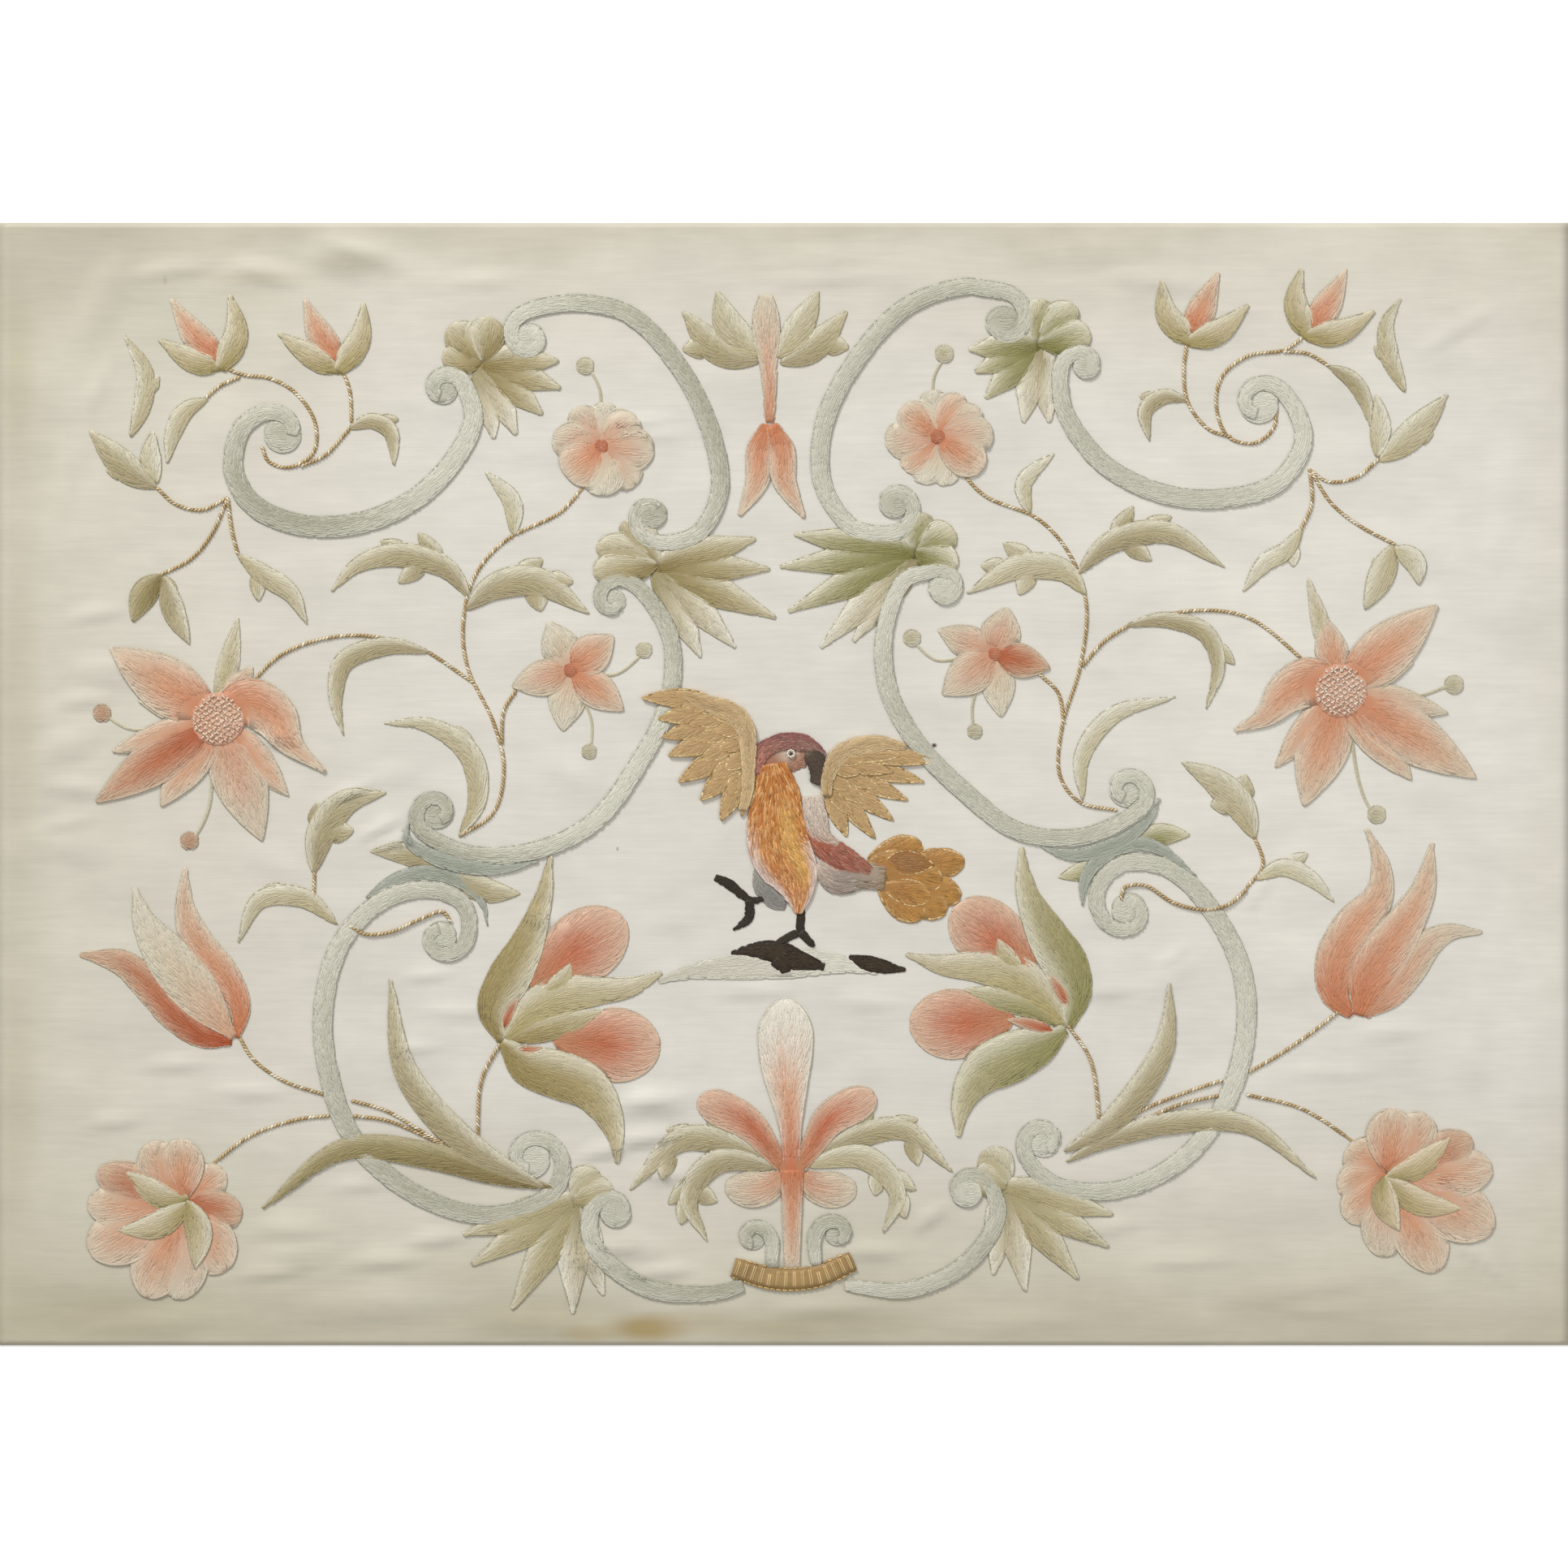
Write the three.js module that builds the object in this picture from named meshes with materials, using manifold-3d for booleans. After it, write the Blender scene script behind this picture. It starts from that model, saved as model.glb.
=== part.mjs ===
// An embroidered silk panel, lying face up.
// Millimetres. X runs along the panel's long side, Y towards its upper edge, and +Z out of its face.
// The origin is on the underside, at the middle of the panel.
import * as THREE from "three";
import Module from "manifold-3d";
import { mergeVertices } from "three/addons/utils/BufferGeometryUtils.js";

const wasm = await Module();
wasm.setup();

// Driving dimensions
const panelWidth = 773;
const panelHeight = 553;
const clothThickness = 1.2;
const stitchGap = 0.3;
const stitchThickness = 0.8;
const neighbourGap = 0.3;
const cordWidth = 2.4;
const trellisRadius = 13;
const heartRadius = 3.5;
const windIn = 0.5;
const bluntHuskWidth = 19;
const huskWidths = [9, 17, 16.5, 9, 1];

// Fineness of the shapes
const gridColumns = 64;
const gridRows = 46;
const leafSteps = 6;
const petalSteps = 5;
const birdStep = 7;
const cordStep = 12;
const scrollStep = 12;
const discSides = 10;
const tipHalfWidth = 0.5;
const flatTolerance = 0.04;
const outlineTolerance = 0.35;
const reliefTolerance = 0.1;
const smallestPiece = 45;
const headStart = 0.78;
const toothShare = 0.78;

// C-scrolls: node, tone, width, start eye, points along the band, end eye.
// An eye is x, y, radius and the turns of the spiral that winds into it, plus being anticlockwise.
const scrolls = [
  ["scroll_1_left", "deep", 10.5, [-247, 172, 9, -0.62],
    [[-271, 154], [-262, 138], [-240, 128], [-212, 128], [-184, 139], [-163, 159], [-153, 180], [-156, 193]],
    [-168, 194, 7, 0.7]],
  ["scroll_1_right", "mid", 9.5, [149, 206, 6.5, -0.62],
    [[136, 196], [139, 182], [157, 158], [185, 143.5], [215, 140.5], [243, 148.5], [256, 170], [247, 192]],
    [234, 187, 9.5, 0.66]],
  ["scroll_2_left", "deep", 9, [-125, 220, 7, 0.85],
    [[-130, 231], [-105, 237], [-76, 231], [-50, 203], [-35, 170], [-32, 143], [-42, 124], [-57, 119]],
    [-65, 133, 7, -0.72]],
  ["scroll_2_right", "mid", 9, [108, 227, 8.5, -0.8],
    [[100, 244], [88, 245], [60, 235], [35, 208], [20, 178], [19, 148], [33, 127], [45, 123.5]],
    [54, 138, 7, 0.9]],
  ["scroll_3_left", "mid", 9, [-84, 90, 6, 0.85],
    [[-70, 95], [-56, 72], [-57, 40], [-73, 8], [-94, -19], [-124, -33], [-156, -34], [-180, -21]],
    [-171, -14, 8, -0.78]],
  ["scroll_3_right", "mid", 9, [78, 96, 6.8, -0.85],
    [[70, 104], [60, 101], [50, 78], [51, 48], [65, 21], [88, -3], [115, -23], [146, -26], [172, -15]],
    [169, -3, 8.5, 0.9]],
  ["scroll_4_left", "pale", 9.5, [-169, -75, 7.5, -0.8],
    [[-155, -68], [-159, -58], [-174, -52], [-197, -57], [-218, -78], [-227, -112], [-224, -144],
      [-212, -175], [-185, -200], [-152, -212], [-128, -209], [-113, -200], [-109, -187]],
    [-125, -185, 9.5, 0.75]],
  ["scroll_4_right", "pale", 9.5, [170, -62, 8.5, 0.72],
    [[154, -58], [157, -47], [168, -39], [190, -42], [212, -64], [226, -94], [227, -126], [217, -158],
      [196, -185], [164, -200], [133, -197], [119, -183]],
    [128, -176, 8, -0.8]],
  ["scroll_5_left", "pale", 9, [-83, -211, 7.5, -0.6],
    [[-96, -218], [-92, -230], [-68, -248], [-36, -251], [-20, -247]], null],
  ["scroll_5_right", "pale", 8.5, [90, -201, 7.5, 0.66],
    [[104, -203], [105, -214], [91, -235], [62, -249], [30, -247]], null],
  ["coronet", "mid", 7, null, [[-6, -238], [-6, -225]], [-15, -224, 5.5, 0.75]],
  ["coronet", "mid", 7, null, [[16, -237], [15, -224]], [26, -222, 5.5, -0.75]],
];

// Turned-over edges of the scrolls: node, width, points along the band
const turnovers = [
  ["scroll_3_left", 7, [[-185, -18], [-186, -27], [-175, -35], [-160, -40], [-140, -42], [-121, -38]]],
  ["scroll_3_right", 7, [[127, -31], [140, -35], [155, -33], [170, -26], [181, -16], [185, -7]]],
  ["scroll_4_left", 7, [[-206, -56], [-192, -47], [-175, -43.5], [-160, -48], [-149, -58], [-146, -70]]],
  ["scroll_4_right", 7.5, [[147, -60], [148, -48], [155, -37], [168, -30], [183, -31], [203, -45]]],
];

// Leafy husks where two scrolls meet: node, tone, centre, blunt tips, pointed tips
const husks = [
  ["husk_1_left", "olive", [-148, 208], [[-168, 212], [-164, 226], [-146, 230]],
    [[-111, 208.5], [-110, 195], [-119, 182], [-132, 172], [-143, 170]]],
  ["husk_1_right", "green", [125, 217], [[126, 239], [143, 236], [151, 222]],
    [[91, 214], [94, 203], [99, 190], [118, 178], [131, 178]]],
  ["husk_2_left", "olive", [-62, 108], [[-78, 130], [-92, 118], [-94, 105]],
    [[-14, 121], [-7, 106], [-4, 82], [-24, 67], [-41, 62]]],
  ["husk_2_right", "green", [65, 115], [[67, 134], [84, 125], [85, 106]],
    [[5, 123], [-2, 107], [2, 85], [18, 67], [34, 70]]],
  ["husk_3_left", "sage", [-104, -205], [[-92, -190], [-84, -200]],
    [[-158, -222], [-154, -237], [-134, -259], [-104, -261], [-89, -252]]],
  ["husk_3_right", "sage", [110, -198], [[100, -180], [93, -192]],
    [[162, -212], [160, -228], [145, -244], [119, -250], [103, -242]]],
];

// Leaves: node, tone, width, points along the midrib from base to tip, tips of the teeth
const leaves = [
  ["lobe_left", "olive", 12, [[-165, -41], [-186, -34], [-204, -33]], []],
  ["lobe_left", "olive", 13, [[-165, -43], [-148, -52], [-130, -54]], []],
  ["lobe_right", "green", 13, [[170, -33], [153, -41], [135, -46]], []],
  ["lobe_right", "green", 12, [[170, -31], [186, -25], [200, -25]], []],
  ["leaf_lone_left", "sage", 9, [[-322, 171], [-316, 187], [-315, 203], [-325, 221]], [[-308, 201]]],
  ["leaf_lone_right", "sage", 9, [[306, 193], [298, 212], [297, 227], [304, 239]], [[291, 216]]],
  ["sprig_outer_left", "olive", 14, [[-309, 146], [-323, 155], [-342, 174]], [[-334, 155]]],
  ["sprig_outer_left", "pale", 10, [[-309, 148], [-312, 160], [-311, 174]], []],
  ["sprig_outer_left", "darkOlive", 13, [[-307, 103], [-315, 94], [-321, 80]], [[-300, 89]]],
  ["sprig_outer_left", "olive", 11, [[-305, 102], [-301, 86], [-293, 69]], []],
  ["sprig_outer_left", "sage", 10, [[-269, 113], [-256, 103], [-243, 94], [-235, 79]], [[-259, 90]]],
  ["sprig_outer_right", "sage", 14, [[293, 159], [308, 171], [327, 192]], [[320, 173]]],
  ["sprig_outer_right", "pale", 10, [[292, 161], [294, 176], [292, 192]], []],
  ["sprig_outer_right", "sage", 13, [[300, 118], [294, 102], [286, 86]], [[289, 106]]],
  ["sprig_outer_right", "pale", 11, [[301, 117], [311, 109], [313, 98]], []],
  ["sprig_outer_right", "pale", 9, [[255, 126], [247, 115], [237, 109], [226, 95]], [[251, 107]]],
  ["sprig_upper_left", "sage", 9, [[-284, 190], [-295, 184], [-301, 173], [-304, 158]], []],
  ["sprig_upper_left", "olive", 8, [[-215, 175], [-203, 179], [-194, 174], [-192, 157]], [[-190, 180]]],
  ["sprig_upper_right", "olive", 8, [[268, 206], [279, 200], [286, 190], [289, 176]], []],
  ["sprig_upper_right", "olive", 8, [[199, 189], [187, 191], [178, 184], [180, 169]], [[175, 191]]],
  ["branch_left", "olive", 10, [[-174, 65], [-196, 68], [-217, 60], [-221, 42], [-217, 24]], []],
  ["branch_left", "olive", 12, [[-154, 91], [-166, 106], [-190, 113], [-210, 108], [-223, 95]],
    [[-180, 124], [-190, 99], [-199, 120]]],
  ["branch_left", "olive", 15, [[-157, 86], [-143, 97], [-122, 100], [-96, 84]],
    [[-119, 111], [-120, 85], [-104, 100]]],
  ["branch_left", "pale", 9, [[-133, 122], [-134, 139], [-147, 154]], []],
  ["branch_left", "sage", 11, [[-160, -26], [-151, -8], [-155, 15], [-175, 29], [-197, 30]], [[-161, 29]]],
  ["branch_right", "olive", 9, [[168, 78], [188, 81], [208, 74], [214, 58], [208, 37]], [[222, 59]]],
  ["branch_right", "sage", 13, [[149, 93], [138, 105], [116, 107], [90, 94]],
    [[108, 119], [116, 93], [97, 108]]],
  ["branch_right", "olive", 12, [[144, 103], [161, 119], [188, 124], [217, 107]],
    [[172, 137], [181, 110], [191, 132]]],
  ["branch_right", "pale", 8, [[121, 133], [118, 148], [133, 163]], []],
  ["branch_right", "pale", 9, [[147, -8], [147, 14], [162, 34], [193, 43]], []],
  ["sprig_middle_left", "olive", 15, [[-232, -44], [-228, -24], [-216, -9], [-196, -4]],
    [[-230, -9], [-212, -23]]],
  ["sprig_middle_left", "sage", 10, [[-220, -69], [-237, -56], [-258, -57], [-269, -78]], [[-256, -50]]],
  ["sprig_middle_right", "sage", 15, [[232, -27], [225, -11], [213, 1], [196, 11]], [[227, 5], [210, -10]]],
  ["sprig_middle_right", "pale", 9, [[232, -47], [246, -41], [260, -47], [271, -58]], [[258, -34]]],
  ["stand_left", "darkOlive", 13, [[-113, -199], [-140, -193], [-175, -183], [-217, -180], [-257, -209]],
    []],
  ["stand_left", "olive", 14, [[-118, -199], [-155, -178], [-186, -142], [-194, -96]], []],
  ["stand_right", "olive", 11, [[139, -186], [158, -176], [190, -167], [228, -168], [262, -194]], []],
  ["stand_right", "olive", 13, [[138, -181], [162, -166], [187, -130], [190, -98]], []],
  ["crest", "olive", 15, [[-12, 208], [-32, 214], [-50, 233]], [[-50, 214]]],
  ["crest", "sage", 16, [[-11, 210], [-26, 224], [-33, 243]], []],
  ["crest", "olive", 14, [[-2, 207], [14, 215], [31, 233]], [[32, 215]]],
  ["crest", "sage", 14, [[-3, 210], [8, 226], [17, 243]], []],
  ["palmette", "olive", 13, [[0, -190], [-20, -180], [-50, -175], [-76, -200]],
    [[-38, -165], [-58, -170], [-60, -195]]],
  ["palmette", "olive", 12, [[8, -189], [26, -178], [58, -170], [83, -191]],
    [[44, -161], [66, -165], [66, -188]]],
  ["palmette", "olive", 12, [[-2, -189], [-33, -186], [-47, -204], [-38, -225]],
    [[-57, -207], [-33, -206], [-51, -217]]],
  ["palmette", "sage", 12, [[8, -188], [40, -184], [56, -202], [49, -221]],
    [[45, -203], [65, -200], [60, -214]]],
];

// Flowers with straight petals: node, centre, tip shape, petals as tip x, tip y, width, tone
const flowers = [
  ["flower_round_left", [-90, 166], "round", [[-88, 188, 18, "pale"], [-103, 185, 18, "blush"],
    [-72, 180, 22, "blush"], [-114, 170, 20, "blush"], [-73, 147, 21, "blush"], [-64, 164, 22, "blush"],
    [-89, 142, 23, "pale"], [-107, 151, 25, "coral"]]],
  ["flower_round_right", [76, 171], "round", [[80, 147, 20, "pale"], [67, 148, 18, "pale"],
    [59, 155, 18, "coral"], [50, 169, 21, "blush"], [73, 194, 18, "pale"], [58, 185, 19, "coral"],
    [87, 192, 17, "coral"], [97, 184, 18, "blush"], [103, 172, 21, "blush"], [98, 155, 20, "coral"]]],
  ["flower_small_left", [-105, 56], "point", [[-109, 26, 19, "pale"], [-116, 80, 19, "pale"],
    [-134, 48, 18, "blush"], [-79, 36, 18, "coral"], [-84, 73, 20, "coral"]]],
  ["flower_small_right", [104, 64], "point", [[107, 33, 17, "pale"], [76, 76, 17, "blush"],
    [110, 87, 20, "blush"], [78, 44, 21, "blush"], [131, 57, 17, "deep"]]],
  ["rosette_left", [-297, -206], "round", [[-276, -190, 19, "coral"], [-267, -213, 20, "deep"],
    [-275, -240, 28, "coral"], [-298, -254, 29, "blush"], [-314, -253, 28, "coral"],
    [-342, -231, 30, "coral"], [-343, -208, 24, "coral"], [-338, -191, 21, "deep"],
    [-313, -177, 24, "coral"], [-297, -175, 23, "coral"]]],
  ["rosette_right", [298, -192], "round", [[277, -180, 24, "coral"], [273, -200, 22, "coral"],
    [277, -215, 21, "coral"], [295, -233, 24, "blush"], [322, -240, 27, "coral"], [349, -220, 31, "coral"],
    [349, -190, 26, "coral"], [339, -175, 21, "deep"], [317, -163, 24, "coral"], [300, -160, 25, "coral"]]],
  ["star_left", [-279, 32], "point", [[-269, 82, 11, "sage"], [-262, 58, 16, "coral"],
    [-244, -6, 17, "coral"], [-257, -28, 27, "blush"], [-307, -11, 20, "coral"],
    [-318, 41, 14, "blush"], [-331, 16, 15, "coral"], [-339, -9, 23, "deep"], [-332, 67, 28, "coral"]]],
  ["star_right", [274, 46], "point", [[258, 102, 10, "sage"], [266, 83, 17, "coral"],
    [242, 8, 15, "coral"], [256, -11, 27, "coral"], [309, 2, 20, "coral"],
    [327, 35, 16, "blush"], [310, 60, 13, "blush"], [341, 3, 27, "coral"], [322, 88, 26, "coral"]]],
];

// Curved petals, from the lowest layer up: node, tone, width, tip shape, points from base to tip and, for a
// leafy one, its dark side: 1 to the left of the way to the tip, -1 to the right. A stepped petal has a list
// of widths.
const petals = [
  ["bud_1_left", "coral", [9, 15, 13, 7, 1], "step", [[-279, 208], [-291, 222], [-302, 239]]],
  ["bud_1_left", "sepal", [5, 13, 12, 7, 1], "step", [[-277, 206], [-291, 209], [-308, 219]]],
  ["bud_1_left", "sepal", [5, 13, 12, 7, 1], "step", [[-278, 204], [-270, 222], [-273, 241]]],
  ["bud_2_left", "coral", [9, 15, 13, 7, 1], "step", [[-221, 208], [-230, 224], [-236, 239]]],
  ["bud_2_left", "sepal", [5, 13, 12, 7, 1], "step", [[-218, 204], [-234, 212], [-249, 222]]],
  ["bud_2_left", "sepal", [5, 13, 12, 7, 1], "step", [[-220, 203], [-209, 220], [-207, 237]]],
  ["bud_1_right", "coral", [9, 15, 13, 7, 1], "step", [[201, 222], [208, 239], [214, 252]]],
  ["bud_1_right", "sepal", [5, 13, 12, 7, 1], "step", [[202, 217], [189, 231], [186, 248]]],
  ["bud_1_right", "sepal", [5, 13, 12, 7, 1], "step", [[199, 218], [214, 223], [229, 236]]],
  ["bud_2_right", "coral", [9, 15, 13, 7, 1], "step", [[260, 224], [270, 240], [277, 254]]],
  ["bud_2_right", "sepal", [5, 13, 12, 7, 1], "step", [[260, 219], [252, 237], [255, 254]]],
  ["bud_2_right", "sepal", [5, 13, 12, 7, 1], "step", [[257, 221], [274, 223], [291, 233]]],
  ["tulip_left", "deep", [3, 13, 16, 16, 12, 1], "step",
    [[-272, -127], [-285, -125], [-299, -115], [-313, -99], [-326, -88], [-347, -84]]],
  ["tulip_left", "coral", [3, 12, 16, 16, 9, 1], "step",
    [[-270, -125], [-268, -110], [-276, -94], [-289, -78], [-295, -62], [-295, -41]]],
  ["tulip_left", "pale", [2, 18, 25, 22, 12, 1], "step",
    [[-271, -125], [-282, -112], [-295, -96], [-306, -82], [-315, -68], [-320, -51]]],
  ["tulip_right", "blush", [3, 14, 17, 15, 8, 1], "step",
    [[286, -114], [298, -104], [308, -91], [317, -79], [328, -73], [344, -73]]],
  ["tulip_right", "coral", [3, 19, 24, 22, 14, 8, 1], "step",
    [[280, -114], [272, -104], [273, -88], [282, -70], [293, -55], [294, -40], [287, -22]]],
  ["tulip_right", "coral", [4, 24, 24, 17, 10, 1], "step",
    [[283, -114], [288, -98], [297, -82], [307, -67], [315, -52], [319.5, -29]]],
  ["pomegranate_left", "fruit", 36, "round", [[-125, -101], [-104, -84], [-79, -66]]],
  ["pomegranate_left", "fruit", 37, "round", [[-114, -126], [-90, -128], [-61, -130]]],
  ["pomegranate_left", "olive", [3, 14, 14, 1], "step",
    [[-138, -127], [-122, -121], [-106, -117], [-90, -112]], -1],
  ["pomegranate_left", "sage", [3, 16, 22, 14, 10, 1], "step",
    [[-138, -126], [-125, -112], [-110, -104], [-92, -102], [-76, -100], [-60, -93]], -1],
  ["pomegranate_left", "sage", 9, "point", [[-118, -102], [-110, -97], [-105, -88]]],
  ["pomegranate_left", "olive", [3, 17, 22, 18, 12, 7, 1], "step",
    [[-139, -127], [-143, -111], [-135, -95], [-127, -80], [-122, -67], [-118, -54], [-115, -35]], 1],
  ["pomegranate_left", "olive", [3, 20, 24, 23, 17, 9, 1], "step",
    [[-139, -127], [-127, -138], [-112, -143], [-97, -149], [-88, -160], [-83, -173], [-82, -187]], -1],
  ["pomegranate_left", "deep", 5, "point", [[-138, -120], [-135, -112], [-131, -105]]],
  ["pomegranate_left", "deep", 4, "point", [[-132, -131], [-126, -131], [-119, -130]]],
  ["pomegranate_right", "fruit", 34, "round", [[124, -96], [105, -78], [84, -60]]],
  ["pomegranate_right", "fruit", 35, "round", [[114, -115], [92, -118], [62, -118]]],
  ["pomegranate_right", "green", [3, 12, 13, 1], "step",
    [[139, -120], [123, -110], [106, -105], [89, -101]], 1],
  ["pomegranate_right", "sage", [3, 18, 22, 15, 10, 1], "step",
    [[139, -119], [125, -103], [111, -93], [95, -90], [78, -89], [60, -84]], 1],
  ["pomegranate_right", "sage", 9, "point", [[117, -90], [110, -85], [105, -76]]],
  ["pomegranate_right", "green", [3, 17, 23, 21, 14, 8, 1], "step",
    [[140, -120], [143, -104], [139, -90], [131, -77], [124, -64], [119, -51], [117, -31]], -1],
  ["pomegranate_right", "green", [3, 19, 25, 25, 17, 9, 1], "step",
    [[139, -121], [127, -128], [113, -134], [99, -141], [91, -150], [87, -160], [86, -174]], 1],
  ["pomegranate_right", "deep", 7, "point", [[142, -110], [137, -103], [131, -94]]],
  ["pomegranate_right", "deep", 6, "point", [[133, -122], [122, -118.5], [110, -116]]],
  ["star_left", "coral", [14, 26, 22, 9, 1], "step",
    [[-279, 32], [-264, 40], [-252, 34], [-243, 20], [-226, 6]]],
  ["star_right", "coral", [14, 26, 20, 9, 1], "step",
    [[274, 46], [258, 50], [247, 44], [238, 34], [222, 26]]],
  ["drop", "coral", [5, 13, 13, 8, 1], "step", [[-8, 177], [-12, 164], [-13, 150], [-22, 132]]],
  ["drop", "coral", [5, 13, 13, 8, 1], "step", [[-6, 177], [-1, 164], [0, 150], [10, 131]]],
  ["palmette", "blush", 18, "round", [[2, -191], [-10, -199], [-29, -199]]],
  ["palmette", "blush", 18, "round", [[6, -191], [18, -199], [36, -200]]],
  ["palmette", "fruit", [5, 9, 13, 17, 18, 18], "club", [[3, -193], [-6, -181], [-18, -167], [-42, -155]]],
  ["palmette", "fruit", [5, 9, 13, 17, 18, 18], "club", [[5, -193], [13, -180], [23, -165], [45, -153]]],
  ["palmette", "central", [6, 8, 11, 19, 26, 28, 26], "club", [[4, -197], [3, -165], [1, -140], [1, -106]]],
  ["rosette_left", "sepal", 13, "point", [[-293, -204], [-306, -203], [-324, -191]]],
  ["rosette_left", "sepal", 13, "point", [[-293, -206], [-308, -217], [-328, -220]]],
  ["rosette_left", "sepal", 13, "point", [[-294, -205], [-288, -221], [-290, -239]]],
  ["rosette_right", "greenSepal", 13, "point", [[296, -194], [312, -188], [328, -174]]],
  ["rosette_right", "greenSepal", 13, "point", [[296, -194], [313, -206], [334, -209]]],
  ["rosette_right", "greenSepal", 13, "point", [[296, -193], [296, -206], [303, -220]]],
];

// Stamens: node, width, points of the stalk, seed x, y, radius, tone
const stamens = [
  ["flower_round_left", 1.6, [[-90, 186], [-91, 195], [-95, 203]], [-98, 206, 4.2, "olive"]],
  ["flower_round_right", 1.6, [[73, 190], [74, 201], [78, 209]], [79, 212, 4.4, "olive"]],
  ["flower_small_left", 1.6, [[-97, 55], [-83, 54], [-72, 62]], [-69, 66, 3.9, "olive"]],
  ["flower_small_left", 1.6, [[-102, 47], [-95, 32], [-95, 20]], [-96, 16, 3.6, "pale"]],
  ["flower_small_right", 1.6, [[92, 63], [75, 61], [66, 68]], [63, 72, 4.2, "olive"]],
  ["flower_small_right", 1.6, [[98, 53], [93, 40], [93, 30]], [94, 26, 3.6, "pale"]],
  ["star_left", 1.8, [[-298, 29], [-322, 27], [-333, 33]], [-336, 35, 4.4, "coral"]],
  ["star_left", 1.8, [[-282, 14], [-283, -10], [-289, -24]], [-293, -28, 4.4, "coral"]],
  ["star_right", 1.8, [[292, 44], [311, 43], [326, 48]], [330, 49, 4.6, "olive"]],
  ["star_right", 1.8, [[279, 28], [283, 2], [288, -11]], [292, -15, 4.4, "olive"]],
];

// Couched gilt cords: node, points. Where a cord runs under a scroll it stops at one edge and goes on at the
// other. A cord with a scroll's name is couched over its band.
const cords = [
  ["scroll_4_left", [[-214, -70], [-206, -74], [-194, -73], [-180, -67], [-168, -63], [-164, -68]]],
  ["scroll_4_right", [[228, -52], [219, -59.5], [207, -62], [192, -58.5], [178, -50], [168, -51],
    [166, -57]]],
  ["sprig_upper_left", [[-278, 206], [-266, 201.5], [-254, 200], [-241, 193], [-231, 178], [-232, 163],
    [-244, 156], [-254, 159], [-257, 166]]],
  ["sprig_upper_left", [[-285, 190], [-278, 196], [-268, 200.5]]],
  ["sprig_upper_left", [[-218.5, 206], [-214, 194], [-213, 178]]],
  ["sprig_upper_left", [[-238, 156.5], [-226, 162], [-214, 175]]],
  ["sprig_outer_left", [[-309, 146], [-300, 138], [-287, 135], [-274, 141]]],
  ["sprig_outer_left", [[-274, 141], [-282, 123], [-292, 111], [-307, 103]]],
  ["sprig_outer_left", [[-274, 141], [-272, 125], [-269, 113]]],
  ["branch_left", [[-99, 146], [-110, 134], [-137, 120], [-152, 103], [-158, 80], [-156, 58], [-143, 30],
    [-138, 8], [-143, -14], [-160, -26]]],
  ["branch_left", [[-265, 47], [-247, 64], [-217, 73], [-182, 68], [-153, 50]]],
  ["branch_left", [[-132, 46], [-138, 36], [-139, 20]]],
  ["tulip_left", [[-270, -121], [-262, -135], [-247, -146], [-227, -153]]],
  ["stand_left", [[-213, -156], [-196, -161], [-177, -172], [-160, -181]]],
  ["rosette_left", [[-284, -189], [-262, -173], [-238, -165], [-224, -163.5]]],
  ["stand_left", [[-212, -163.5], [-195, -166], [-176, -174], [-160, -182]]],
  ["stand_left", [[-140, -128], [-149, -146], [-151, -176]]],
  ["sprig_middle_left", [[-231, -38], [-232, -62]]],
  ["sprig_upper_right", [[258, 222], [247, 214], [229, 211], [216, 201], [213, 186], [219, 171], [232, 168],
    [241, 175], [243, 184]]],
  ["sprig_upper_right", [[246, 213], [258, 212], [270, 205]]],
  ["sprig_upper_right", [[199, 221], [197, 203], [199, 188], [209, 175], [220, 171]]],
  ["sprig_outer_right", [[259, 155], [268, 149], [282, 151], [293, 160]]],
  ["sprig_outer_right", [[259, 155], [270, 138], [284, 127], [301, 118]]],
  ["sprig_outer_right", [[259, 155], [260, 138], [254, 124]]],
  ["branch_right", [[87, 154], [99, 142], [126, 130], [142, 111], [149, 88], [146, 58], [137, 28], [136, 4],
    [146, -9], [164, -13]]],
  ["branch_right", [[147, 58], [160, 72], [185, 83], [226, 83], [262, 56]]],
  ["branch_right", [[126, 54], [135, 45], [138, 30]]],
  ["tulip_right", [[277, -109], [262, -121], [243, -134], [229, -142]]],
  ["stand_right", [[216, -146], [198, -152], [176, -161], [163, -170]]],
  ["rosette_right", [[296, -190], [280, -176], [255, -160], [228, -153]]],
  ["stand_right", [[214, -153.5], [195, -158], [178, -165], [163, -172]]],
  ["stand_right", [[140, -119], [151, -136], [156, -172]]],
  ["sprig_middle_right", [[231, -24], [236, -40], [228, -51]]],
];

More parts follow.
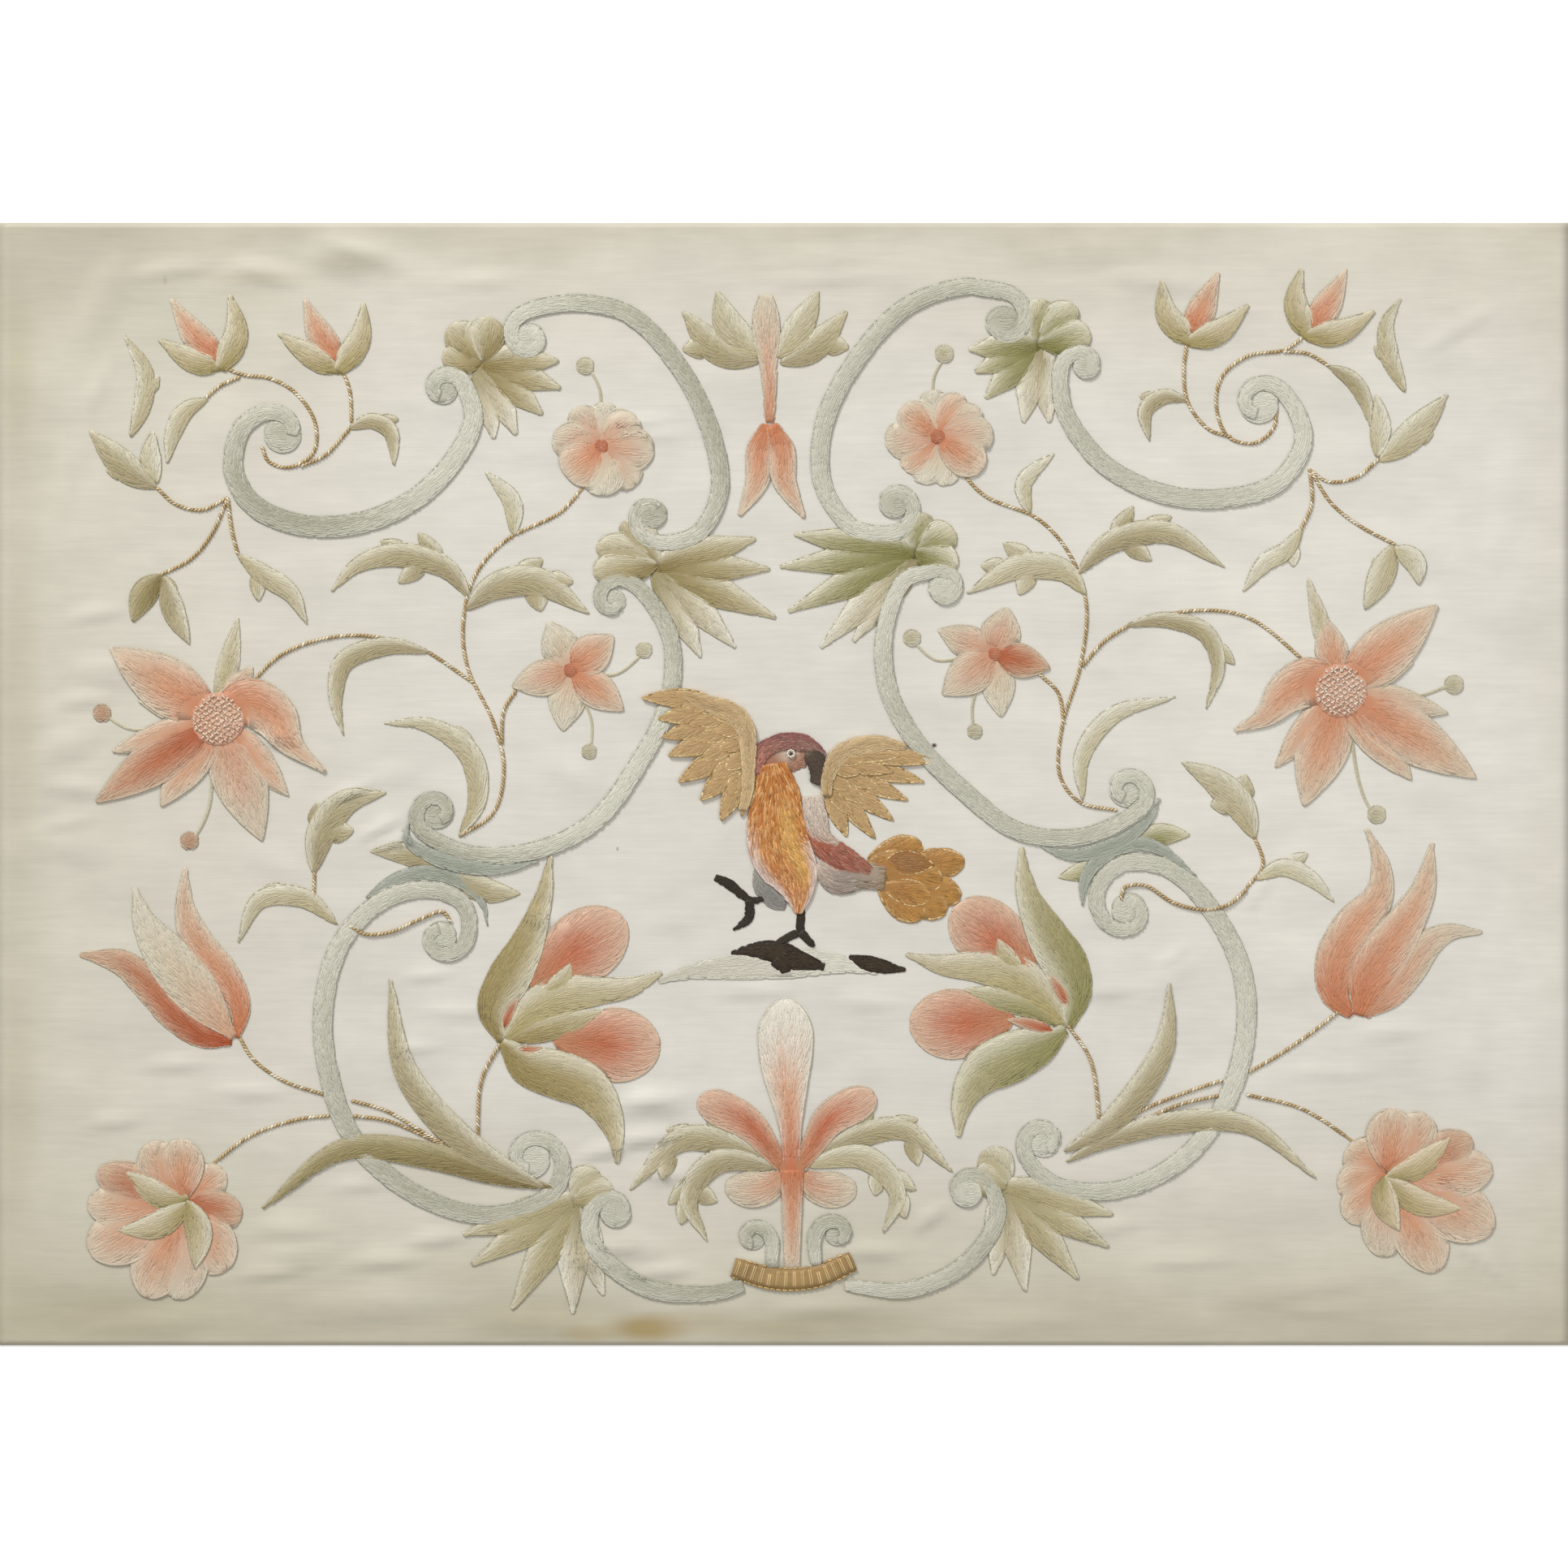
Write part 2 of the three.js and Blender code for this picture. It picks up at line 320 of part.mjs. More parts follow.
// The bird: node, tone, points along the form, width at each point
const birdForms = [
  ["bird", "under", [[16, -40], [27, -47], [38, -45], [50, -46]], [8, 15, 13, 13]],
  ["bird", "back", [[12, -21], [21, -31], [31, -38], [43, -44]], [7, 13, 13, 6]],
  ["bird", "shoulder", [[14, -6], [15, -16], [19, -26], [27, -30]], [9, 13, 9, 3]],
  ["bird", "thigh", [[-12, -40], [-10, -50], [-4, -58], [1, -60]], [5, 10, 10, 4]],
  ["bird", "leg", [[-10, -56.6], [-17, -57], [-26, -50], [-34, -46]], [2.6, 3.6, 5, 3]],
  ["bird", "leg", [[-17, -57], [-17.5, -66], [-25, -72]], [4, 4.5, 1]],
  ["bird", "leg", [[8.5, -62], [8, -70], [8, -75]], [4, 4, 4]],
  ["bird", "leg", [[8, -73], [1, -76], [-5, -80]], [4, 4, 2]],
  ["bird", "leg", [[8, -73], [11, -76], [15, -80]], [4, 4, 1.5]],
  ["bird", "face", [[-12, 4], [-6, 11], [3, 13], [11, 13]], [10, 19, 16, 9]],
  ["bird", "breast", [[-6, 10], [-5, 3], [-4, -6], [-4, -18], [-2, -32], [5, -46], [7, -56], [7, -64]],
    [13, 22, 26, 29, 31, 28, 17, 2]],
  ["bird", "crown", [[-14, 5], [-10.5, 16], [0, 21], [10, 20], [20, 15]], [4, 8, 8, 9, 2]],
  ["bird", "beak", [[12, 15], [16, 11], [17, 5], [15, 0]], [6, 10, 9, 4]],
  ["wing_left", "covert", [[-50, 44], [-36, 39], [-25, 35], [-19, 27], [-17.5, 14], [-18, -2], [-20, -13]],
    [4, 8, 10, 9, 7, 6, 4]],
  ["wing_right", "covert", [[21, -6], [22, 5], [27, 14], [35, 18], [48, 20], [60, 18]], [4, 7, 9, 9, 7, 3]],
];

// Feathers, the lowest first: node, form, base x, y, tip x, y, width
const feathers = [
  ["wing_left", "feather", -17, 4, -21, -16, 9], ["wing_left", "feather", -20, 5, -31, -18, 10],
  ["wing_left", "feather", -22, 11, -41, -8, 11], ["wing_left", "feather", -24, 18, -52, 1, 11],
  ["wing_left", "feather", -27, 25, -57, 14, 11], ["wing_left", "feather", -30, 31, -60, 23, 10.5],
  ["wing_left", "feather", -32, 37, -62, 32, 10.5], ["wing_left", "feather", -35, 42, -70, 42.5, 9.5],
  ["wing_right", "feather", 21, 0, 31, -26, 9.5], ["wing_right", "feather", 22, 2, 45, -27, 9.5],
  ["wing_right", "feather", 23, 5, 54, -18, 10], ["wing_right", "feather", 25, 8, 61, -8, 10],
  ["wing_right", "feather", 28, 12, 69, 1, 10], ["wing_right", "feather", 32, 17, 75, 11, 10],
  ["bird", "tail", 40, -40, 68, -30, 17], ["bird", "tail", 54, -42, 89, -38, 16],
  ["bird", "tail", 52, -46, 87, -56, 18], ["bird", "tail", 48, -49, 80, -63, 18],
  ["bird", "tail", 46, -48, 68, -66, 17], ["bird", "tail", 46, -42, 78, -48, 18],
  ["bird", "tail", 40, -41, 62, -39, 15],
];

// The mound: node, tone, points along the form, width at each point
const moundForms = [
  ["mound", "turf", [[-62, -97], [-43, -92], [-20, -90], [8, -88], [30, -89], [46, -92]],
    [2, 9, 13, 16, 10, 3]],
  ["mound", "rock", [[-26, -84], [-14, -81], [-3, -82], [7, -86], [20, -90.5]], [1, 8, 12, 11, 1]],
  ["mound", "rock", [[-6, -85], [0, -89], [1, -94]], [8, 8, 1]],
  ["mound", "rock", [[32, -85], [40, -88], [49, -90], [60, -91.7]], [1, 8, 6, 1]],
];

// Puckers of the silk: x, y, length, width, turn in degrees, height
const puckers = [
  [-215, 257, 60, 26, -8, 1.6], [-262, 252, 48, 22, 6, 1.1], [-336, 238, 60, 26, 70, 1.2],
  [-334, 55, 44, 22, -12, 1.2], [-352, 20, 46, 24, 20, 1.4], [-352, -30, 56, 24, -14, 1.2],
  [-192, 5, 36, 20, 14, 0.9], [-250, -40, 44, 20, -25, 1.1], [-62, -157, 52, 20, 10, 1.8],
  [-84, -178, 36, 18, 14, 1.2], [-72, -227, 44, 20, -14, 1.5], [-58, -68, 40, 18, 0, 0.8],
  [-206, -258, 90, 26, 3, 1.6], [-120, -266, 80, 20, -5, 1.3], [-310, -266, 84, 20, 5, 1.3],
  [-240, -232, 60, 24, 12, 1.3], [18, 258, 60, 22, -4, 0.9], [150, 262, 90, 22, 4, 1.0],
  [250, -250, 84, 24, 6, 1.2], [110, -267, 90, 18, -3, 1.0], [340, -130, 60, 22, 82, 1.1],
  [355, 140, 90, 22, 86, 1.2], [-105, 5, 50, 20, -30, 0.8], [190, -95, 46, 20, 40, 0.8],
];

// Stalks: node, tone, points along the stalk, width at each point
const stalks = [
  ["crest", "blush", [[-7, 178], [-7, 192], [-8, 212], [-9, 230], [-9, 241]],
    [4, 5, 6, 7, 8, 10, 13, 14, 12, 5]],
  ["palmette", "coral", [[4, -190], [4, -212], [4, -239]], [11, 9, 7]],
  ["coronet", "gold", [[-25, -238], [-8, -243], [5, -244], [18, -242], [34, -235]], [10, 11, 11, 11, 10]],
];

// The nodes in the order in which they lie, the topmost first. Each is cut back from those above it.
const layers = [
  "wing_left", "wing_right", "bird", "mound", "coronet", "palmette", "drop", "crest", "stand_left",
  "stand_right",
  "scroll_1_left", "scroll_1_right", "scroll_2_left", "scroll_2_right", "scroll_3_left", "scroll_3_right",
  "scroll_4_left", "scroll_4_right", "scroll_5_left", "scroll_5_right",
  "husk_1_left", "husk_1_right", "husk_2_left", "husk_2_right", "husk_3_left", "husk_3_right",
  "lobe_left", "lobe_right", "flower_round_left", "flower_round_right", "flower_small_left",
  "flower_small_right", "star_left", "star_right", "rosette_left", "rosette_right", "tulip_left",
  "tulip_right", "pomegranate_left", "pomegranate_right", "bud_1_left", "bud_2_left", "bud_1_right",
  "bud_2_right", "branch_left", "branch_right", "sprig_upper_left", "sprig_upper_right",
  "sprig_outer_left", "sprig_outer_right", "sprig_middle_left", "sprig_middle_right",
  "leaf_lone_left", "leaf_lone_right",
];

// Finish of each node by the start of its name: colour, roughness
const finishes = {
  scroll: ["#b9c2bb", 0.5],
  coronet: ["#9a7440", 0.45],
  husk: ["#a1955f", 0.55],
  lobe: ["#a1955f", 0.55],
  leaf: ["#b0a67c", 0.55],
  sprig: ["#b0a67c", 0.55],
  branch: ["#b0a67c", 0.55],
  stand: ["#a1955f", 0.55],
  crest: ["#b0a67c", 0.55],
  flower: ["#d2a184", 0.55],
  star: ["#cf8a68", 0.55],
  rosette: ["#d2a184", 0.55],
  tulip: ["#cf8a68", 0.55],
  pomegranate: ["#a1955f", 0.55],
  bud: ["#cf8a68", 0.55],
  drop: ["#d98c72", 0.55],
  palmette: ["#cf8a68", 0.55],
  bird: ["#c8823c", 0.55],
  wing: ["#b8935a", 0.5],
  mound: ["#3a2c22", 0.6],
};

// Turns a three.js geometry into a solid that can be joined and cut
function solidFrom(geometry) {
  geometry.deleteAttribute("normal");
  geometry.deleteAttribute("uv");
  const merged = mergeVertices(geometry, 1e-5);
  return new wasm.Manifold(new wasm.Mesh({
    numProp: 3,
    vertProperties: new Float32Array(merged.attributes.position.array),
    triVerts: new Uint32Array(merged.index.array),
  }));
}

// Turns a solid back into a three.js geometry
function geometryFrom(solid) {
  const mesh = solid.getMesh();
  const geometry = new THREE.BufferGeometry();
  geometry.setAttribute("position", new THREE.BufferAttribute(mesh.vertProperties, 3));
  geometry.setIndex(new THREE.BufferAttribute(mesh.triVerts, 1));
  geometry.computeVertexNormals();
  return geometry;
}

// Height of the silk at a point: flat on the ground but for the soft lens of each pucker
function swell(x, y) {
  let height = 0;
  for (const [centreX, centreY, length, width, turn, rise] of puckers) {
    const angle = THREE.MathUtils.degToRad(turn);
    const along = ((x - centreX) * Math.cos(angle) + (y - centreY) * Math.sin(angle)) / (length / 2);
    const across = ((y - centreY) * Math.cos(angle) - (x - centreX) * Math.sin(angle)) / (width / 2);
    const inside = 1 - along * along - across * across;
    if (inside > 0) {
      height = Math.max(height, rise * inside * inside);
    }
  }
  return height;
}

// A sheet over the whole panel between two heights above the silk's underside
function sheet(low, high) {
  const vertices = [];
  const index = [];
  const row = gridColumns + 1;
  const layer = row * (gridRows + 1);
  for (const lift of [low, high]) {
    for (let j = 0; j <= gridRows; j += 1) {
      for (let i = 0; i <= gridColumns; i += 1) {
        const x = (i / gridColumns - 0.5) * panelWidth;
        const y = (j / gridRows - 0.5) * panelHeight;
        vertices.push(x, y, swell(x, y) + lift);
      }
    }
  }
  for (let j = 0; j < gridRows; j += 1) {
    for (let i = 0; i < gridColumns; i += 1) {
      const a = j * row + i;
      const b = a + 1;
      const c = a + row + 1;
      const d = a + row;
      index.push(a, c, b, a, d, c);
      index.push(layer + a, layer + b, layer + c, layer + a, layer + c, layer + d);
    }
  }
  const wall = (p, q) => index.push(p, q, layer + q, p, layer + q, layer + p);
  for (let i = 0; i < gridColumns; i += 1) {
    wall(i, i + 1);
    wall(gridRows * row + i + 1, gridRows * row + i);
  }
  for (let j = 0; j < gridRows; j += 1) {
    wall((j + 1) * row, j * row);
    wall(j * row + gridColumns, (j + 1) * row + gridColumns);
  }
  const geometry = new THREE.BufferGeometry();
  geometry.setAttribute("position", new THREE.BufferAttribute(new Float32Array(vertices), 3));
  geometry.setIndex(index);
  return solidFrom(geometry);
}

// An upright prism over a flat outline, tall enough to pass through the layer of stitches
function prism(corners) {
  const shape = new THREE.Shape(corners.map(([x, y]) => new THREE.Vector2(x, y)));
  const geometry = new THREE.ExtrudeGeometry(shape, { depth: 8, bevelEnabled: false });
  return solidFrom(geometry);
}

function disc(x, y, radius) {
  const corners = Array.from({ length: discSides }, (_, i) => {
    const angle = (i / discSides) * 2 * Math.PI;
    return [x + radius * Math.cos(angle), y + radius * Math.sin(angle)];
  });
  return prism(corners);
}

// Evenly spaced points on a smooth curve through the given ones
function smoothPoints(points, steps) {
  const through = points.map(([x, y]) => new THREE.Vector3(x, y, 0));
  return new THREE.CatmullRomCurve3(through, false, "centripetal").getSpacedPoints(steps);
}

// A strip along a curve, as one prism for each step. halfWidthAt gives the half width from the start, 0, to
// the end, 1.
function strip(points, steps, halfWidthAt, grow) {
  const spine = smoothPoints(points, steps);
  const startWay = spine[0].clone().sub(spine[1]).setLength(grow);
  const endWay = spine[steps].clone().sub(spine[steps - 1]).setLength(grow);
  const edges = spine.map((point, i) => {
    const before = spine[Math.max(i - 1, 0)];
    const after = spine[Math.min(i + 1, steps)];
    const way = after.clone().sub(before).normalize();
    const half = Math.max(halfWidthAt(i / steps), tipHalfWidth) + grow;
    const shift = i === 0 ? startWay : i === steps ? endWay : new THREE.Vector3();
    const x = point.x + shift.x;
    const y = point.y + shift.y;
    return [[x - way.y * half, y + way.x * half], [x + way.y * half, y - way.x * half]];
  });
  return Array.from({ length: steps }, (_, i) => {
    const [left, right] = edges[i];
    const [nextLeft, nextRight] = edges[i + 1];
    return prism([left, right, nextRight, nextLeft]);
  });
}

// Half width of a leaf or of a pointed petal: full before the middle and drawn out to the tip
function pointedHalf(width) {
  return (t) => 0.5 * width * Math.sin(Math.PI * t ** 0.85) ** 0.9;
}

// Half width of a blunt petal: full beyond the middle, with a round end
function roundHalf(width) {
  return (t) => 0.5 * width * Math.sqrt(Math.sin(Math.PI * Math.min(t, 0.999) ** 1.35));
}

// Half width that goes evenly from one given width to the next
function steppedHalf(widths) {
  return (t) => {
    const place = t * (widths.length - 1);
    const i = Math.min(Math.floor(place), widths.length - 2);
    return 0.5 * THREE.MathUtils.lerp(widths[i], widths[i + 1], place - i);
  };
}

// Half width of a petal with a narrow foot and a round head: its widths, closed as an ellipse at the end
function clubHalf(widths) {
  const even = steppedHalf(widths);
  return (t) => {
    const intoHead = Math.max((t - headStart) / (1 - headStart), 0);
    return even(t) * Math.sqrt(Math.max(1 - intoHead ** 2, 0));
  };
}

function petalHalf(shape, width) {
  if (shape === "club") {
    return clubHalf(width);
  }
  if (shape === "step") {
    return steppedHalf(width);
  }
  return shape === "round" ? roundHalf(width) : pointedHalf(width);
}

// Points of the spiral that winds from a band's end into its eye, its radius shrinking by a constant ratio
function spiral([fromX, fromY], [x, y, radius, turns]) {
  const endRadius = windIn * radius;
  const startRadius = Math.hypot(fromX - x, fromY - y);
  const startAngle = Math.atan2(fromY - y, fromX - x);
  const steps = Math.max(3, Math.round(Math.abs(turns) * 8));
  return Array.from({ length: steps }, (_, i) => {
    const t = (i + 1) / steps;
    const reach = startRadius * (endRadius / startRadius) ** t;
    const angle = startAngle + 2 * Math.PI * turns * t;
    return [x + reach * Math.cos(angle), y + reach * Math.sin(angle)];
  });
}

function lengthOf(points) {
  return smoothPoints(points, 40).reduce((sum, p, i, all) => sum + (i ? p.distanceTo(all[i - 1]) : 0), 0);
}

// Each node's forms, as functions of how much they are grown on all sides
const forms = new Map(layers.map((name) => [name, []]));

function addForm(node, make) {
  forms.get(node).push(make);
}

function addScrolls() {
  for (const [node, , width, startEye, through, endEye] of scrolls) {
    const start = startEye ? spiral(through[0], startEye).reverse() : [];
    const end = endEye ? spiral(through[through.length - 1], endEye) : [];
    const points = [...start, ...through, ...end];
    const steps = Math.round(lengthOf(points) / scrollStep) + 6;
    const halfAt = (t) => 0.5 * width * (0.55 + 0.45 * Math.sqrt(Math.sin(Math.PI * t)));
    addForm(node, (grow) => strip(points, steps, halfAt, grow));
    for (const eye of [startEye, endEye]) {
      if (eye) {
        addForm(node, (grow) => [disc(eye[0], eye[1], eye[2] + grow)]);
      }
    }
  }
  for (const [node, width, points] of turnovers) {
    addForm(node, (grow) => strip(points, 9, (t) => pointedHalf(width)(0.1 + 0.8 * t), grow));
  }
}

function addHusks() {
  for (const [node, , centre, blunt, pointed] of husks) {
    addForm(node, (grow) => [disc(centre[0], centre[1], heartRadius + grow)]);
    for (const tip of blunt) {
      addForm(node, (grow) => strip([centre, tip], 5, roundHalf(bluntHuskWidth), grow));
    }
    for (const tip of pointed) {
      addForm(node, (grow) => strip([centre, tip], 5, steppedHalf(huskWidths), grow));
    }
  }
}

function addLeaves() {
  for (const [node, , width, points, teeth] of leaves) {
    addForm(node, (grow) => strip(points, leafSteps, pointedHalf(width), grow));
    const spine = smoothPoints(points, 20);
    for (const tip of teeth) {
      const near = spine.reduce((best, p) => (
        Math.hypot(p.x - tip[0], p.y - tip[1]) < Math.hypot(best.x - tip[0], best.y - tip[1]) ? p : best
      ));
      const index = Math.max(spine.indexOf(near) - 3, 0);
      const root = [spine[index].x, spine[index].y];
      addForm(node, (grow) => strip([root, tip], 3, pointedHalf(width * toothShare), grow));
    }
  }
}

function addFlowers() {
  for (const [node, centre, shape, petalRows] of flowers) {
    const radius = node.startsWith("star") ? trellisRadius : heartRadius;
    addForm(node, (grow) => [disc(centre[0], centre[1], radius + grow)]);
    for (const [x, y, width] of petalRows) {
      addForm(node, (grow) => strip([centre, [x, y]], petalSteps, petalHalf(shape, width), grow));
    }
  }
  for (const [node, , width, shape, points] of petals) {
    addForm(node, (grow) => strip(points, leafSteps, petalHalf(shape, width), grow));
  }
  for (const [node, width, points, [x, y, radius]] of stamens) {
    const stalk = [...points, [x, y]];
    addForm(node, (grow) => [...strip(stalk, 4, () => width / 2, grow), disc(x, y, radius + grow)]);
  }
}

function addCords() {
  for (const [node, points] of cords) {
    const steps = Math.max(2, Math.round(lengthOf(points) / cordStep));
    addForm(node, (grow) => strip(points, steps, () => cordWidth / 2, grow));
  }
}

function addBirdAndMound() {
  for (const [node, , points, widths] of [...birdForms, ...moundForms, ...stalks]) {
    const steps = Math.max(3, Math.min(8, Math.round(lengthOf(points) / birdStep)));
    addForm(node, (grow) => strip(points, steps, steppedHalf(widths), grow));
  }
  for (const [node, , baseX, baseY, tipX, tipY, width] of feathers) {
    addForm(node, (grow) => strip([[baseX, baseY], [tipX, tipY]], 4, pointedHalf(width), grow));
  }
}

function joined(node, grow) {
  const solid = wasm.Manifold.union(forms.get(node).flatMap((make) => make(grow)));
  return solid.asOriginal().simplify(grow ? flatTolerance : outlineTolerance);
}

function meshOf(name, solid, [colour, roughness]) {
  const material = new THREE.MeshStandardMaterial({ color: colour, roughness, metalness: 0 });
  const mesh = new THREE.Mesh(geometryFrom(solid), material);
  mesh.name = name;
  return mesh;
}

function overlaps(a, b) {
  return [0, 1].every((k) => a.min[k] < b.max[k] && b.min[k] < a.max[k]);
}

function makeCloth() {
  const solid = sheet(0, clothThickness).asOriginal().simplify(flatTolerance);
  return meshOf("ground_cloth", solid, ["#d8d2c2", 0.45]);
}

// Each node of stitches: its forms joined, cut back from the nodes above it, and laid on the silk
function makeEmbroidery() {
  const low = clothThickness + stitchGap;
  const stitchLayer = sheet(low, low + stitchThickness);
  const meshes = [];
  const above = [];
  for (const name of layers) {
    let solid = joined(name, 0);
    const box = solid.boundingBox();
    const cutters = above.filter((other) => overlaps(box, other.box)).map((other) => other.solid);
    if (cutters.length) {
      solid = solid.subtract(wasm.Manifold.union(cutters));
    }
    const laid = solid.intersect(stitchLayer).asOriginal().simplify(reliefTolerance);
    const pieces = laid.decompose()
      .filter((piece) => piece.volume() > smallestPiece)
      .sort((a, b) => b.volume() - a.volume());
    const finish = finishes[name.split("_")[0]];
    pieces.forEach((piece, i) => {
      meshes.push(meshOf(i ? `${name}_part_${i + 1}` : name, piece, finish));
    });
    const grown = joined(name, neighbourGap);
    above.push({ solid: grown, box: grown.boundingBox() });
  }
  return meshes;
}

addScrolls();
addHusks();
addLeaves();
addFlowers();
addCords();
addBirdAndMound();

const panel = new THREE.Group();
panel.name = "silkwork_panel";
panel.add(makeCloth(), ...makeEmbroidery());

export default panel;
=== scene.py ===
import math
import bpy
import numpy as np
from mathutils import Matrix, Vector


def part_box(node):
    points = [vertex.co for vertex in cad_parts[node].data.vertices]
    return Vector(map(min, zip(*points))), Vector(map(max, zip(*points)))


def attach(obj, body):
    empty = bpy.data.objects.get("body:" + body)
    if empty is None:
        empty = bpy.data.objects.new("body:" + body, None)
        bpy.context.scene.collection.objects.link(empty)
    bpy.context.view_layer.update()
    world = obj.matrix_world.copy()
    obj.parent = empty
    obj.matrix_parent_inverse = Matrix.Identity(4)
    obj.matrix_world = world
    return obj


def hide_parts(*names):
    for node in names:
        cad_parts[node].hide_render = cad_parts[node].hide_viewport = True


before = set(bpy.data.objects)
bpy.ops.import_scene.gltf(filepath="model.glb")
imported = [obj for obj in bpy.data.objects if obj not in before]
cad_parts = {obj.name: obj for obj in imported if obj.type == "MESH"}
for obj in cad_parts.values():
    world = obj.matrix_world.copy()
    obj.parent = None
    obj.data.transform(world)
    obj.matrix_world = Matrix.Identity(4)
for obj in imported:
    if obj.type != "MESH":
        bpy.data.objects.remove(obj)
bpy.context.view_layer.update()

# An embroidered silk panel, lying face up. Shapes are worked out in millimetres, X to the right, Y up the
# panel, and turned to metres when they go into a mesh.
metre = 0.001
rng = np.random.default_rng(41)
clothLow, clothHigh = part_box("ground_cloth")
panelWidth = (clothHigh[0] - clothLow[0]) / metre
panelHeight = (clothHigh[1] - clothLow[1]) / metre

# A floss stitch: pitch is the gap to the next one beside it, spread its width as a share of the pitch,
# advance the way on to the next row as a share of its length, rise its height and sink how deep it lies in
# its bed. The bed is pad high, with a dome over it and a rank's step for each form that it lies on. The
# turf's dome is nearly flat, so that the rocks lie over it. Stray is how far a stitch's colour wanders along
# the form. Real floss lies about 0.25 mm apart; it is drawn coarser, so that it shows.
stitch = {"pitch": 0.8, "spread": 1.25, "length": 7.0, "advance": 0.6, "rise": 0.24, "sink": 0.1,
          "pad": 0.16, "dome": 0.34, "turfDome": 0.2, "rank": 0.07, "stray": 0.05}
windIn = 0.5  # where a scroll's spiral ends, as a share of its eye's radius
headStart = 0.78  # where the round head of a club-shaped petal starts along it
toothShare = 0.78  # the width of a leaf's tooth as a share of the leaf's own
bluntHuskWidth = 19
huskWidths = [9, 17, 16.5, 9, 1]  # of a pointed husk, from its root to its tip
# Couched gilt cord: the way from one turn to the next; a turn's length, width, height and slant in degrees;
# and the width of the bed under it
gilt = {"pitch": 1.75, "length": 3.0, "width": 1.35, "rise": 0.8, "turn": 33, "bed": 1.5}
# The map of which form shows: the size of a cell, and how far past its outline a form still counts
raster = {"cell": 0.5, "margin": 0.1}

# C-scrolls: node, width, start eye, points along the band, end eye.
# An eye is x, y, radius and the turns of the spiral that winds into it, plus being anticlockwise.
scrolls = [
  ["scroll_1_left", 10.5, [-247, 172, 9, -0.62],
    [[-271, 154], [-262, 138], [-240, 128], [-212, 128], [-184, 139], [-163, 159], [-153, 180], [-156, 193]],
    [-168, 194, 7, 0.7]],
  ["scroll_1_right", 9.5, [149, 206, 6.5, -0.62],
    [[136, 196], [139, 182], [157, 158], [185, 143.5], [215, 140.5], [243, 148.5], [256, 170], [247, 192]],
    [234, 187, 9.5, 0.66]],
  ["scroll_2_left", 9, [-125, 220, 7, 0.85],
    [[-130, 231], [-105, 237], [-76, 231], [-50, 203], [-35, 170], [-32, 143], [-42, 124], [-57, 119]],
    [-65, 133, 7, -0.72]],
  ["scroll_2_right", 9, [108, 227, 8.5, -0.8],
    [[100, 244], [88, 245], [60, 235], [35, 208], [20, 178], [19, 148], [33, 127], [45, 123.5]],
    [54, 138, 7, 0.9]],
  ["scroll_3_left", 9, [-84, 90, 6, 0.85],
    [[-70, 95], [-56, 72], [-57, 40], [-73, 8], [-94, -19], [-124, -33], [-156, -34], [-180, -21]],
    [-171, -14, 8, -0.78]],
  ["scroll_3_right", 9, [78, 96, 6.8, -0.85],
    [[70, 104], [60, 101], [50, 78], [51, 48], [65, 21], [88, -3], [115, -23], [146, -26], [172, -15]],
    [169, -3, 8.5, 0.9]],
  ["scroll_4_left", 9.5, [-169, -75, 7.5, -0.8],
    [[-155, -68], [-159, -58], [-174, -52], [-197, -57], [-218, -78], [-227, -112], [-224, -144],
      [-212, -175], [-185, -200], [-152, -212], [-128, -209], [-113, -200], [-109, -187]],
    [-125, -185, 9.5, 0.75]],
  ["scroll_4_right", 9.5, [170, -62, 8.5, 0.72],
    [[154, -58], [157, -47], [168, -39], [190, -42], [212, -64], [226, -94], [227, -126], [217, -158],
      [196, -185], [164, -200], [133, -197], [119, -183]],
    [128, -176, 8, -0.8]],
  ["scroll_5_left", 9, [-83, -211, 7.5, -0.6],
    [[-96, -218], [-92, -230], [-68, -248], [-36, -251], [-20, -247]], None],
  ["scroll_5_right", 8.5, [90, -201, 7.5, 0.66],
    [[104, -203], [105, -214], [91, -235], [62, -249], [30, -247]], None],
  ["coronet", 7, None, [[-6, -238], [-6, -225]], [-15, -224, 5.5, 0.75]],
  ["coronet", 7, None, [[16, -237], [15, -224]], [26, -222, 5.5, -0.75]],
]

# Turned-over edges of the scrolls: node, width, points along the band
turnovers = [
  ["scroll_3_left", 7, [[-185, -18], [-186, -27], [-175, -35], [-160, -40], [-140, -42], [-121, -38]]],
  ["scroll_3_right", 7, [[127, -31], [140, -35], [155, -33], [170, -26], [181, -16], [185, -7]]],
  ["scroll_4_left", 7, [[-206, -56], [-192, -47], [-175, -43.5], [-160, -48], [-149, -58], [-146, -70]]],
  ["scroll_4_right", 7.5, [[147, -60], [148, -48], [155, -37], [168, -30], [183, -31], [203, -45]]],
]

